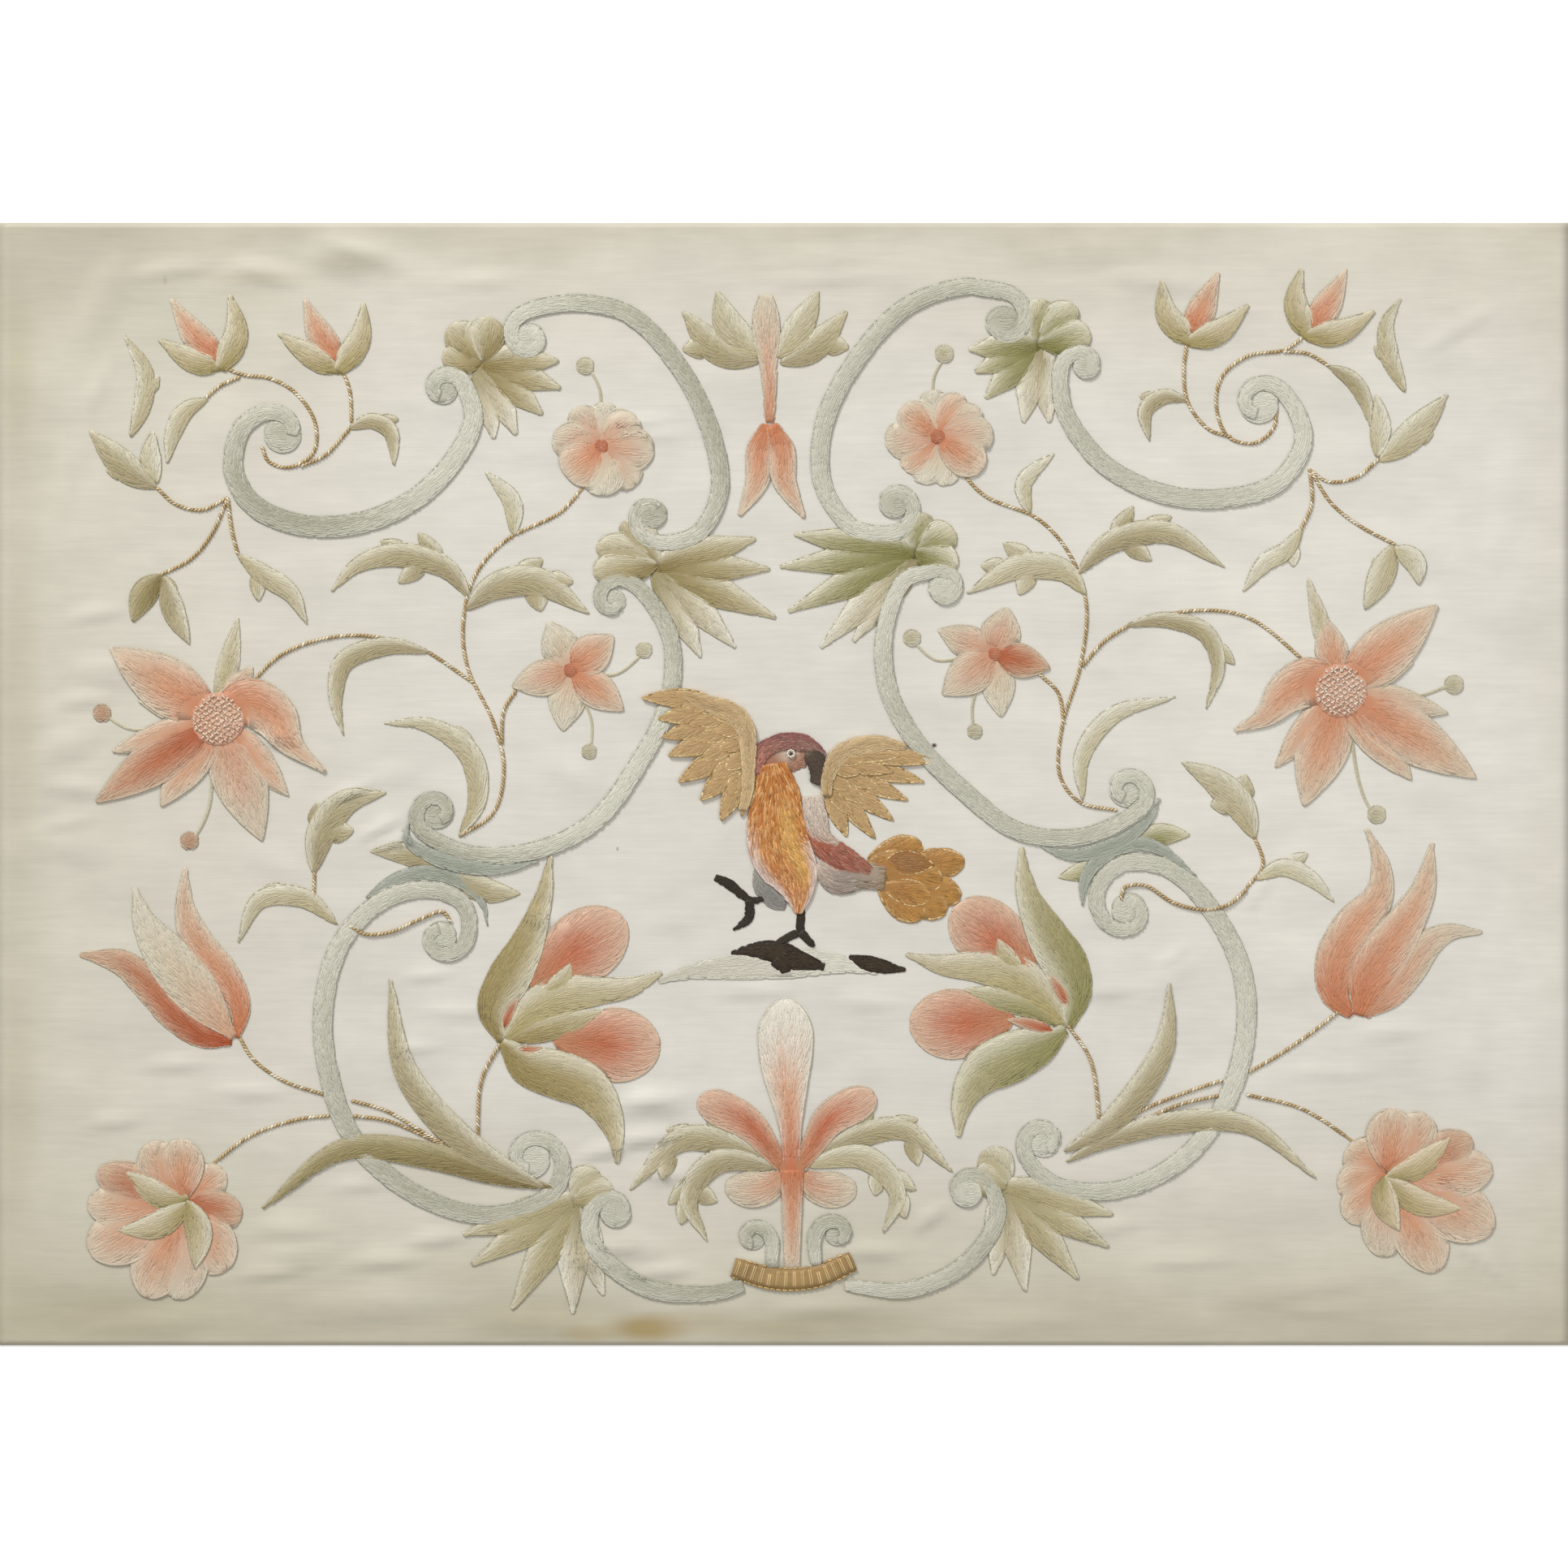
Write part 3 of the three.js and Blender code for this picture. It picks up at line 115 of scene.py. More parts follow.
# Leafy husks where two scrolls meet: node, tone, centre, blunt tips, pointed tips
husks = [
  ["husk_1_left", "olive", [-148, 208], [[-168, 212], [-164, 226], [-146, 230]],
    [[-111, 208.5], [-110, 195], [-119, 182], [-132, 172], [-143, 170]]],
  ["husk_1_right", "green", [125, 217], [[126, 239], [143, 236], [151, 222]],
    [[91, 214], [94, 203], [99, 190], [118, 178], [131, 178]]],
  ["husk_2_left", "olive", [-62, 108], [[-78, 130], [-92, 118], [-94, 105]],
    [[-14, 121], [-7, 106], [-4, 82], [-24, 67], [-41, 62]]],
  ["husk_2_right", "green", [65, 115], [[67, 134], [84, 125], [85, 106]],
    [[5, 123], [-2, 107], [2, 85], [18, 67], [34, 70]]],
  ["husk_3_left", "sage", [-104, -205], [[-92, -190], [-84, -200]],
    [[-158, -222], [-154, -237], [-134, -259], [-104, -261], [-89, -252]]],
  ["husk_3_right", "sage", [110, -198], [[100, -180], [93, -192]],
    [[162, -212], [160, -228], [145, -244], [119, -250], [103, -242]]],
]

# Leaves: node, tone, width, points along the midrib from base to tip, tips of the teeth
leaves = [
  ["lobe_left", "olive", 12, [[-165, -41], [-186, -34], [-204, -33]], []],
  ["lobe_left", "olive", 13, [[-165, -43], [-148, -52], [-130, -54]], []],
  ["lobe_right", "green", 13, [[170, -33], [153, -41], [135, -46]], []],
  ["lobe_right", "green", 12, [[170, -31], [186, -25], [200, -25]], []],
  ["leaf_lone_left", "sage", 9, [[-322, 171], [-316, 187], [-315, 203], [-325, 221]], [[-308, 201]]],
  ["leaf_lone_right", "sage", 9, [[306, 193], [298, 212], [297, 227], [304, 239]], [[291, 216]]],
  ["sprig_outer_left", "olive", 14, [[-309, 146], [-323, 155], [-342, 174]], [[-334, 155]]],
  ["sprig_outer_left", "pale", 10, [[-309, 148], [-312, 160], [-311, 174]], []],
  ["sprig_outer_left", "darkOlive", 13, [[-307, 103], [-315, 94], [-321, 80]], [[-300, 89]]],
  ["sprig_outer_left", "olive", 11, [[-305, 102], [-301, 86], [-293, 69]], []],
  ["sprig_outer_left", "sage", 10, [[-269, 113], [-256, 103], [-243, 94], [-235, 79]], [[-259, 90]]],
  ["sprig_outer_right", "sage", 14, [[293, 159], [308, 171], [327, 192]], [[320, 173]]],
  ["sprig_outer_right", "pale", 10, [[292, 161], [294, 176], [292, 192]], []],
  ["sprig_outer_right", "sage", 13, [[300, 118], [294, 102], [286, 86]], [[289, 106]]],
  ["sprig_outer_right", "pale", 11, [[301, 117], [311, 109], [313, 98]], []],
  ["sprig_outer_right", "pale", 9, [[255, 126], [247, 115], [237, 109], [226, 95]], [[251, 107]]],
  ["sprig_upper_left", "sage", 9, [[-284, 190], [-295, 184], [-301, 173], [-304, 158]], []],
  ["sprig_upper_left", "olive", 8, [[-215, 175], [-203, 179], [-194, 174], [-192, 157]], [[-190, 180]]],
  ["sprig_upper_right", "olive", 8, [[268, 206], [279, 200], [286, 190], [289, 176]], []],
  ["sprig_upper_right", "olive", 8, [[199, 189], [187, 191], [178, 184], [180, 169]], [[175, 191]]],
  ["branch_left", "olive", 10, [[-174, 65], [-196, 68], [-217, 60], [-221, 42], [-217, 24]], []],
  ["branch_left", "olive", 12, [[-154, 91], [-166, 106], [-190, 113], [-210, 108], [-223, 95]],
    [[-180, 124], [-190, 99], [-199, 120]]],
  ["branch_left", "olive", 15, [[-157, 86], [-143, 97], [-122, 100], [-96, 84]],
    [[-119, 111], [-120, 85], [-104, 100]]],
  ["branch_left", "pale", 9, [[-133, 122], [-134, 139], [-147, 154]], []],
  ["branch_left", "sage", 11, [[-160, -26], [-151, -8], [-155, 15], [-175, 29], [-197, 30]], [[-161, 29]]],
  ["branch_right", "olive", 9, [[168, 78], [188, 81], [208, 74], [214, 58], [208, 37]], [[222, 59]]],
  ["branch_right", "sage", 13, [[149, 93], [138, 105], [116, 107], [90, 94]],
    [[108, 119], [116, 93], [97, 108]]],
  ["branch_right", "olive", 12, [[144, 103], [161, 119], [188, 124], [217, 107]],
    [[172, 137], [181, 110], [191, 132]]],
  ["branch_right", "pale", 8, [[121, 133], [118, 148], [133, 163]], []],
  ["branch_right", "pale", 9, [[147, -8], [147, 14], [162, 34], [193, 43]], []],
  ["sprig_middle_left", "olive", 15, [[-232, -44], [-228, -24], [-216, -9], [-196, -4]],
    [[-230, -9], [-212, -23]]],
  ["sprig_middle_left", "sage", 10, [[-220, -69], [-237, -56], [-258, -57], [-269, -78]], [[-256, -50]]],
  ["sprig_middle_right", "sage", 15, [[232, -27], [225, -11], [213, 1], [196, 11]], [[227, 5], [210, -10]]],
  ["sprig_middle_right", "pale", 9, [[232, -47], [246, -41], [260, -47], [271, -58]], [[258, -34]]],
  ["stand_left", "darkOlive", 13, [[-113, -199], [-140, -193], [-175, -183], [-217, -180], [-257, -209]],
    []],
  ["stand_left", "olive", 14, [[-118, -199], [-155, -178], [-186, -142], [-194, -96]], []],
  ["stand_right", "olive", 11, [[139, -186], [158, -176], [190, -167], [228, -168], [262, -194]], []],
  ["stand_right", "olive", 13, [[138, -181], [162, -166], [187, -130], [190, -98]], []],
  ["crest", "olive", 15, [[-12, 208], [-32, 214], [-50, 233]], [[-50, 214]]],
  ["crest", "sage", 16, [[-11, 210], [-26, 224], [-33, 243]], []],
  ["crest", "olive", 14, [[-2, 207], [14, 215], [31, 233]], [[32, 215]]],
  ["crest", "sage", 14, [[-3, 210], [8, 226], [17, 243]], []],
  ["palmette", "olive", 13, [[0, -190], [-20, -180], [-50, -175], [-76, -200]],
    [[-38, -165], [-58, -170], [-60, -195]]],
  ["palmette", "olive", 12, [[8, -189], [26, -178], [58, -170], [83, -191]],
    [[44, -161], [66, -165], [66, -188]]],
  ["palmette", "olive", 12, [[-2, -189], [-33, -186], [-47, -204], [-38, -225]],
    [[-57, -207], [-33, -206], [-51, -217]]],
  ["palmette", "sage", 12, [[8, -188], [40, -184], [56, -202], [49, -221]],
    [[45, -203], [65, -200], [60, -214]]],
]

# Flowers with straight petals: node, centre, tip shape, petals as tip x, tip y, width, tone
flowers = [
  ["flower_round_left", [-90, 166], "round", [[-88, 188, 18, "pale"], [-103, 185, 18, "blush"],
    [-72, 180, 22, "blush"], [-114, 170, 20, "blush"], [-73, 147, 21, "blush"], [-64, 164, 22, "blush"],
    [-89, 142, 23, "pale"], [-107, 151, 25, "coral"]]],
  ["flower_round_right", [76, 171], "round", [[80, 147, 20, "pale"], [67, 148, 18, "pale"],
    [59, 155, 18, "coral"], [50, 169, 21, "blush"], [73, 194, 18, "pale"], [58, 185, 19, "coral"],
    [87, 192, 17, "coral"], [97, 184, 18, "blush"], [103, 172, 21, "blush"], [98, 155, 20, "coral"]]],
  ["flower_small_left", [-105, 56], "point", [[-109, 26, 19, "pale"], [-116, 80, 19, "pale"],
    [-134, 48, 18, "blush"], [-79, 36, 18, "coral"], [-84, 73, 20, "coral"]]],
  ["flower_small_right", [104, 64], "point", [[107, 33, 17, "pale"], [76, 76, 17, "blush"],
    [110, 87, 20, "blush"], [78, 44, 21, "blush"], [131, 57, 17, "deep"]]],
  ["rosette_left", [-297, -206], "round", [[-276, -190, 19, "coral"], [-267, -213, 20, "deep"],
    [-275, -240, 28, "coral"], [-298, -254, 29, "blush"], [-314, -253, 28, "coral"],
    [-342, -231, 30, "coral"], [-343, -208, 24, "coral"], [-338, -191, 21, "deep"],
    [-313, -177, 24, "coral"], [-297, -175, 23, "coral"]]],
  ["rosette_right", [298, -192], "round", [[277, -180, 24, "coral"], [273, -200, 22, "coral"],
    [277, -215, 21, "coral"], [295, -233, 24, "blush"], [322, -240, 27, "coral"], [349, -220, 31, "coral"],
    [349, -190, 26, "coral"], [339, -175, 21, "deep"], [317, -163, 24, "coral"], [300, -160, 25, "coral"]]],
  ["star_left", [-279, 32], "point", [[-269, 82, 11, "sage"], [-262, 58, 16, "coral"],
    [-244, -6, 17, "coral"], [-257, -28, 27, "blush"], [-307, -11, 20, "coral"],
    [-318, 41, 14, "blush"], [-331, 16, 15, "coral"], [-339, -9, 23, "deep"], [-332, 67, 28, "coral"]]],
  ["star_right", [274, 46], "point", [[258, 102, 10, "sage"], [266, 83, 17, "coral"],
    [242, 8, 15, "coral"], [256, -11, 27, "coral"], [309, 2, 20, "coral"],
    [327, 35, 16, "blush"], [310, 60, 13, "blush"], [341, 3, 27, "coral"], [322, 88, 26, "coral"]]],
]

# Curved petals, from the lowest layer up: node, tone, width, tip shape, points from base to tip and, for a
# leafy one, its dark side: 1 to the left of the way to the tip, -1 to the right. A stepped petal has a list
# of widths.
petals = [
  ["bud_1_left", "coral", [9, 15, 13, 7, 1], "step", [[-279, 208], [-291, 222], [-302, 239]]],
  ["bud_1_left", "sepal", [5, 13, 12, 7, 1], "step", [[-277, 206], [-291, 209], [-308, 219]]],
  ["bud_1_left", "sepal", [5, 13, 12, 7, 1], "step", [[-278, 204], [-270, 222], [-273, 241]]],
  ["bud_2_left", "coral", [9, 15, 13, 7, 1], "step", [[-221, 208], [-230, 224], [-236, 239]]],
  ["bud_2_left", "sepal", [5, 13, 12, 7, 1], "step", [[-218, 204], [-234, 212], [-249, 222]]],
  ["bud_2_left", "sepal", [5, 13, 12, 7, 1], "step", [[-220, 203], [-209, 220], [-207, 237]]],
  ["bud_1_right", "coral", [9, 15, 13, 7, 1], "step", [[201, 222], [208, 239], [214, 252]]],
  ["bud_1_right", "sepal", [5, 13, 12, 7, 1], "step", [[202, 217], [189, 231], [186, 248]]],
  ["bud_1_right", "sepal", [5, 13, 12, 7, 1], "step", [[199, 218], [214, 223], [229, 236]]],
  ["bud_2_right", "coral", [9, 15, 13, 7, 1], "step", [[260, 224], [270, 240], [277, 254]]],
  ["bud_2_right", "sepal", [5, 13, 12, 7, 1], "step", [[260, 219], [252, 237], [255, 254]]],
  ["bud_2_right", "sepal", [5, 13, 12, 7, 1], "step", [[257, 221], [274, 223], [291, 233]]],
  ["tulip_left", "deep", [3, 13, 16, 16, 12, 1], "step",
    [[-272, -127], [-285, -125], [-299, -115], [-313, -99], [-326, -88], [-347, -84]]],
  ["tulip_left", "coral", [3, 12, 16, 16, 9, 1], "step",
    [[-270, -125], [-268, -110], [-276, -94], [-289, -78], [-295, -62], [-295, -41]]],
  ["tulip_left", "pale", [2, 18, 25, 22, 12, 1], "step",
    [[-271, -125], [-282, -112], [-295, -96], [-306, -82], [-315, -68], [-320, -51]]],
  ["tulip_right", "blush", [3, 14, 17, 15, 8, 1], "step",
    [[286, -114], [298, -104], [308, -91], [317, -79], [328, -73], [344, -73]]],
  ["tulip_right", "coral", [3, 19, 24, 22, 14, 8, 1], "step",
    [[280, -114], [272, -104], [273, -88], [282, -70], [293, -55], [294, -40], [287, -22]]],
  ["tulip_right", "coral", [4, 24, 24, 17, 10, 1], "step",
    [[283, -114], [288, -98], [297, -82], [307, -67], [315, -52], [319.5, -29]]],
  ["pomegranate_left", "fruit", 36, "round", [[-125, -101], [-104, -84], [-79, -66]]],
  ["pomegranate_left", "fruit", 37, "round", [[-114, -126], [-90, -128], [-61, -130]]],
  ["pomegranate_left", "olive", [3, 14, 14, 1], "step",
    [[-138, -127], [-122, -121], [-106, -117], [-90, -112]], -1],
  ["pomegranate_left", "sage", [3, 16, 22, 14, 10, 1], "step",
    [[-138, -126], [-125, -112], [-110, -104], [-92, -102], [-76, -100], [-60, -93]], -1],
  ["pomegranate_left", "sage", 9, "point", [[-118, -102], [-110, -97], [-105, -88]]],
  ["pomegranate_left", "olive", [3, 17, 22, 18, 12, 7, 1], "step",
    [[-139, -127], [-143, -111], [-135, -95], [-127, -80], [-122, -67], [-118, -54], [-115, -35]], 1],
  ["pomegranate_left", "olive", [3, 20, 24, 23, 17, 9, 1], "step",
    [[-139, -127], [-127, -138], [-112, -143], [-97, -149], [-88, -160], [-83, -173], [-82, -187]], -1],
  ["pomegranate_left", "deep", 5, "point", [[-138, -120], [-135, -112], [-131, -105]]],
  ["pomegranate_left", "deep", 4, "point", [[-132, -131], [-126, -131], [-119, -130]]],
  ["pomegranate_right", "fruit", 34, "round", [[124, -96], [105, -78], [84, -60]]],
  ["pomegranate_right", "fruit", 35, "round", [[114, -115], [92, -118], [62, -118]]],
  ["pomegranate_right", "green", [3, 12, 13, 1], "step",
    [[139, -120], [123, -110], [106, -105], [89, -101]], 1],
  ["pomegranate_right", "sage", [3, 18, 22, 15, 10, 1], "step",
    [[139, -119], [125, -103], [111, -93], [95, -90], [78, -89], [60, -84]], 1],
  ["pomegranate_right", "sage", 9, "point", [[117, -90], [110, -85], [105, -76]]],
  ["pomegranate_right", "green", [3, 17, 23, 21, 14, 8, 1], "step",
    [[140, -120], [143, -104], [139, -90], [131, -77], [124, -64], [119, -51], [117, -31]], -1],
  ["pomegranate_right", "green", [3, 19, 25, 25, 17, 9, 1], "step",
    [[139, -121], [127, -128], [113, -134], [99, -141], [91, -150], [87, -160], [86, -174]], 1],
  ["pomegranate_right", "deep", 7, "point", [[142, -110], [137, -103], [131, -94]]],
  ["pomegranate_right", "deep", 6, "point", [[133, -122], [122, -118.5], [110, -116]]],
  ["star_left", "coral", [14, 26, 22, 9, 1], "step",
    [[-279, 32], [-264, 40], [-252, 34], [-243, 20], [-226, 6]]],
  ["star_right", "coral", [14, 26, 20, 9, 1], "step",
    [[274, 46], [258, 50], [247, 44], [238, 34], [222, 26]]],
  ["drop", "coral", [5, 13, 13, 8, 1], "step", [[-8, 177], [-12, 164], [-13, 150], [-22, 132]]],
  ["drop", "coral", [5, 13, 13, 8, 1], "step", [[-6, 177], [-1, 164], [0, 150], [10, 131]]],
  ["palmette", "blush", 18, "round", [[2, -191], [-10, -199], [-29, -199]]],
  ["palmette", "blush", 18, "round", [[6, -191], [18, -199], [36, -200]]],
  ["palmette", "fruit", [5, 9, 13, 17, 18, 18], "club", [[3, -193], [-6, -181], [-18, -167], [-42, -155]]],
  ["palmette", "fruit", [5, 9, 13, 17, 18, 18], "club", [[5, -193], [13, -180], [23, -165], [45, -153]]],
  ["palmette", "central", [6, 8, 11, 19, 26, 28, 26], "club", [[4, -197], [3, -165], [1, -140], [1, -106]]],
  ["rosette_left", "sepal", 13, "point", [[-293, -204], [-306, -203], [-324, -191]]],
  ["rosette_left", "sepal", 13, "point", [[-293, -206], [-308, -217], [-328, -220]]],
  ["rosette_left", "sepal", 13, "point", [[-294, -205], [-288, -221], [-290, -239]]],
  ["rosette_right", "greenSepal", 13, "point", [[296, -194], [312, -188], [328, -174]]],
  ["rosette_right", "greenSepal", 13, "point", [[296, -194], [313, -206], [334, -209]]],
  ["rosette_right", "greenSepal", 13, "point", [[296, -193], [296, -206], [303, -220]]],
]

# Stamens: node, width, points of the stalk, seed x, y, radius, tone
stamens = [
  ["flower_round_left", 1.6, [[-90, 186], [-91, 195], [-95, 203]], [-98, 206, 4.2, "olive"]],
  ["flower_round_right", 1.6, [[73, 190], [74, 201], [78, 209]], [79, 212, 4.4, "olive"]],
  ["flower_small_left", 1.6, [[-97, 55], [-83, 54], [-72, 62]], [-69, 66, 3.9, "olive"]],
  ["flower_small_left", 1.6, [[-102, 47], [-95, 32], [-95, 20]], [-96, 16, 3.6, "pale"]],
  ["flower_small_right", 1.6, [[92, 63], [75, 61], [66, 68]], [63, 72, 4.2, "olive"]],
  ["flower_small_right", 1.6, [[98, 53], [93, 40], [93, 30]], [94, 26, 3.6, "pale"]],
  ["star_left", 1.8, [[-298, 29], [-322, 27], [-333, 33]], [-336, 35, 4.4, "coral"]],
  ["star_left", 1.8, [[-282, 14], [-283, -10], [-289, -24]], [-293, -28, 4.4, "coral"]],
  ["star_right", 1.8, [[292, 44], [311, 43], [326, 48]], [330, 49, 4.6, "olive"]],
  ["star_right", 1.8, [[279, 28], [283, 2], [288, -11]], [292, -15, 4.4, "olive"]],
]

# Couched gilt cords: node, points. Where a cord runs under a scroll it stops at one edge and goes on at the
# other. A cord with a scroll's name is couched over its band.
cords = [
  ["scroll_4_left", [[-214, -70], [-206, -74], [-194, -73], [-180, -67], [-168, -63], [-164, -68]]],
  ["scroll_4_right", [[228, -52], [219, -59.5], [207, -62], [192, -58.5], [178, -50], [168, -51],
    [166, -57]]],
  ["sprig_upper_left", [[-278, 206], [-266, 201.5], [-254, 200], [-241, 193], [-231, 178], [-232, 163],
    [-244, 156], [-254, 159], [-257, 166]]],
  ["sprig_upper_left", [[-285, 190], [-278, 196], [-268, 200.5]]],
  ["sprig_upper_left", [[-218.5, 206], [-214, 194], [-213, 178]]],
  ["sprig_upper_left", [[-238, 156.5], [-226, 162], [-214, 175]]],
  ["sprig_outer_left", [[-309, 146], [-300, 138], [-287, 135], [-274, 141]]],
  ["sprig_outer_left", [[-274, 141], [-282, 123], [-292, 111], [-307, 103]]],
  ["sprig_outer_left", [[-274, 141], [-272, 125], [-269, 113]]],
  ["branch_left", [[-99, 146], [-110, 134], [-137, 120], [-152, 103], [-158, 80], [-156, 58], [-143, 30],
    [-138, 8], [-143, -14], [-160, -26]]],
  ["branch_left", [[-265, 47], [-247, 64], [-217, 73], [-182, 68], [-153, 50]]],
  ["branch_left", [[-132, 46], [-138, 36], [-139, 20]]],
  ["tulip_left", [[-270, -121], [-262, -135], [-247, -146], [-227, -153]]],
  ["stand_left", [[-213, -156], [-196, -161], [-177, -172], [-160, -181]]],
  ["rosette_left", [[-284, -189], [-262, -173], [-238, -165], [-224, -163.5]]],
  ["stand_left", [[-212, -163.5], [-195, -166], [-176, -174], [-160, -182]]],
  ["stand_left", [[-140, -128], [-149, -146], [-151, -176]]],
  ["sprig_middle_left", [[-231, -38], [-232, -62]]],
  ["sprig_upper_right", [[258, 222], [247, 214], [229, 211], [216, 201], [213, 186], [219, 171], [232, 168],
    [241, 175], [243, 184]]],
  ["sprig_upper_right", [[246, 213], [258, 212], [270, 205]]],
  ["sprig_upper_right", [[199, 221], [197, 203], [199, 188], [209, 175], [220, 171]]],
  ["sprig_outer_right", [[259, 155], [268, 149], [282, 151], [293, 160]]],
  ["sprig_outer_right", [[259, 155], [270, 138], [284, 127], [301, 118]]],
  ["sprig_outer_right", [[259, 155], [260, 138], [254, 124]]],
  ["branch_right", [[87, 154], [99, 142], [126, 130], [142, 111], [149, 88], [146, 58], [137, 28], [136, 4],
    [146, -9], [164, -13]]],
  ["branch_right", [[147, 58], [160, 72], [185, 83], [226, 83], [262, 56]]],
  ["branch_right", [[126, 54], [135, 45], [138, 30]]],
  ["tulip_right", [[277, -109], [262, -121], [243, -134], [229, -142]]],
  ["stand_right", [[216, -146], [198, -152], [176, -161], [163, -170]]],
  ["rosette_right", [[296, -190], [280, -176], [255, -160], [228, -153]]],
  ["stand_right", [[214, -153.5], [195, -158], [178, -165], [163, -172]]],
  ["stand_right", [[140, -119], [151, -136], [156, -172]]],
  ["sprig_middle_right", [[231, -24], [236, -40], [228, -51]]],
]

# The bird: node, tone, points along the form, width at each point
birdForms = [
  ["bird", "under", [[16, -40], [27, -47], [38, -45], [50, -46]], [8, 15, 13, 13]],
  ["bird", "back", [[12, -21], [21, -31], [31, -38], [43, -44]], [7, 13, 13, 6]],
  ["bird", "shoulder", [[14, -6], [15, -16], [19, -26], [27, -30]], [9, 13, 9, 3]],
  ["bird", "thigh", [[-12, -40], [-10, -50], [-4, -58], [1, -60]], [5, 10, 10, 4]],
  ["bird", "leg", [[-10, -56.6], [-17, -57], [-26, -50], [-34, -46]], [2.6, 3.6, 5, 3]],
  ["bird", "leg", [[-17, -57], [-17.5, -66], [-25, -72]], [4, 4.5, 1]],
  ["bird", "leg", [[8.5, -62], [8, -70], [8, -75]], [4, 4, 4]],
  ["bird", "leg", [[8, -73], [1, -76], [-5, -80]], [4, 4, 2]],
  ["bird", "leg", [[8, -73], [11, -76], [15, -80]], [4, 4, 1.5]],
  ["bird", "face", [[-12, 4], [-6, 11], [3, 13], [11, 13]], [10, 19, 16, 9]],
  ["bird", "breast", [[-6, 10], [-5, 3], [-4, -6], [-4, -18], [-2, -32], [5, -46], [7, -56], [7, -64]],
    [13, 22, 26, 29, 31, 28, 17, 2]],
  ["bird", "crown", [[-14, 5], [-10.5, 16], [0, 21], [10, 20], [20, 15]], [4, 8, 8, 9, 2]],
  ["bird", "beak", [[12, 15], [16, 11], [17, 5], [15, 0]], [6, 10, 9, 4]],
  ["wing_left", "covert", [[-50, 44], [-36, 39], [-25, 35], [-19, 27], [-17.5, 14], [-18, -2], [-20, -13]],
    [4, 8, 10, 9, 7, 6, 4]],
  ["wing_right", "covert", [[21, -6], [22, 5], [27, 14], [35, 18], [48, 20], [60, 18]], [4, 7, 9, 9, 7, 3]],
]

# Feathers, the lowest first: node, form, base x, y, tip x, y, width
feathers = [
  ["wing_left", "feather", -17, 4, -21, -16, 9], ["wing_left", "feather", -20, 5, -31, -18, 10],
  ["wing_left", "feather", -22, 11, -41, -8, 11], ["wing_left", "feather", -24, 18, -52, 1, 11],
  ["wing_left", "feather", -27, 25, -57, 14, 11], ["wing_left", "feather", -30, 31, -60, 23, 10.5],
  ["wing_left", "feather", -32, 37, -62, 32, 10.5], ["wing_left", "feather", -35, 42, -70, 42.5, 9.5],
  ["wing_right", "feather", 21, 0, 31, -26, 9.5], ["wing_right", "feather", 22, 2, 45, -27, 9.5],
  ["wing_right", "feather", 23, 5, 54, -18, 10], ["wing_right", "feather", 25, 8, 61, -8, 10],
  ["wing_right", "feather", 28, 12, 69, 1, 10], ["wing_right", "feather", 32, 17, 75, 11, 10],
  ["bird", "tail", 40, -40, 68, -30, 17], ["bird", "tail", 54, -42, 89, -38, 16],
  ["bird", "tail", 52, -46, 87, -56, 18], ["bird", "tail", 48, -49, 80, -63, 18],
  ["bird", "tail", 46, -48, 68, -66, 17], ["bird", "tail", 46, -42, 78, -48, 18],
  ["bird", "tail", 40, -41, 62, -39, 15],
]

# The mound: node, tone, points along the form, width at each point
moundForms = [
  ["mound", "turf", [[-62, -97], [-43, -92], [-20, -90], [8, -88], [30, -89], [46, -92]],
    [2, 9, 13, 16, 10, 3]],
  ["mound", "rock", [[-26, -83.5], [-17, -82], [-6, -82.5], [4, -86], [13, -88.3], [20, -90.3]],
    [1, 6, 10.5, 13, 8, 3]],
  ["mound", "rock", [[-4, -86], [0, -90], [1, -93]], [8, 7, 4]],
  ["mound", "rock", [[32, -85], [40, -88], [49, -90], [60, -91.7]], [1, 8, 6, 1]],
]

# Puckers of the silk: x, y, length, width, turn in degrees, height
puckers = [
  [-215, 257, 60, 26, -8, 1.6], [-262, 252, 48, 22, 6, 1.1], [-336, 238, 60, 26, 70, 1.2],
  [-334, 55, 44, 22, -12, 1.2], [-352, 20, 46, 24, 20, 1.4], [-352, -30, 56, 24, -14, 1.2],
  [-192, 5, 36, 20, 14, 0.9], [-250, -40, 44, 20, -25, 1.1], [-62, -157, 52, 20, 10, 1.8],
  [-84, -178, 36, 18, 14, 1.2], [-72, -227, 44, 20, -14, 1.5], [-58, -68, 40, 18, 0, 0.8],
  [-206, -258, 90, 26, 3, 1.6], [-120, -266, 80, 20, -5, 1.3], [-310, -266, 84, 20, 5, 1.3],
  [-240, -232, 60, 24, 12, 1.3], [18, 258, 60, 22, -4, 0.9], [150, 262, 90, 22, 4, 1.0],
  [250, -250, 84, 24, 6, 1.2], [110, -267, 90, 18, -3, 1.0], [340, -130, 60, 22, 82, 1.1],
  [355, 140, 90, 22, 86, 1.2], [-105, 5, 50, 20, -30, 0.8], [190, -95, 46, 20, 40, 0.8],
]

# Stalks: node, tone, points along the stalk, width at each point
stalks = [
  ["crest", "blush", [[-7, 178], [-7, 192], [-8, 212], [-9, 230], [-9, 241]],
    [4, 5, 6, 7, 8, 10, 13, 14, 12, 5]],
  ["palmette", "coral", [[4, -190], [4, -212], [4, -239]], [11, 9, 7]],
  ["coronet", "gold", [[-25, -238], [-8, -243], [5, -244], [18, -242], [34, -235]], [10, 11, 11, 11, 10]],
]

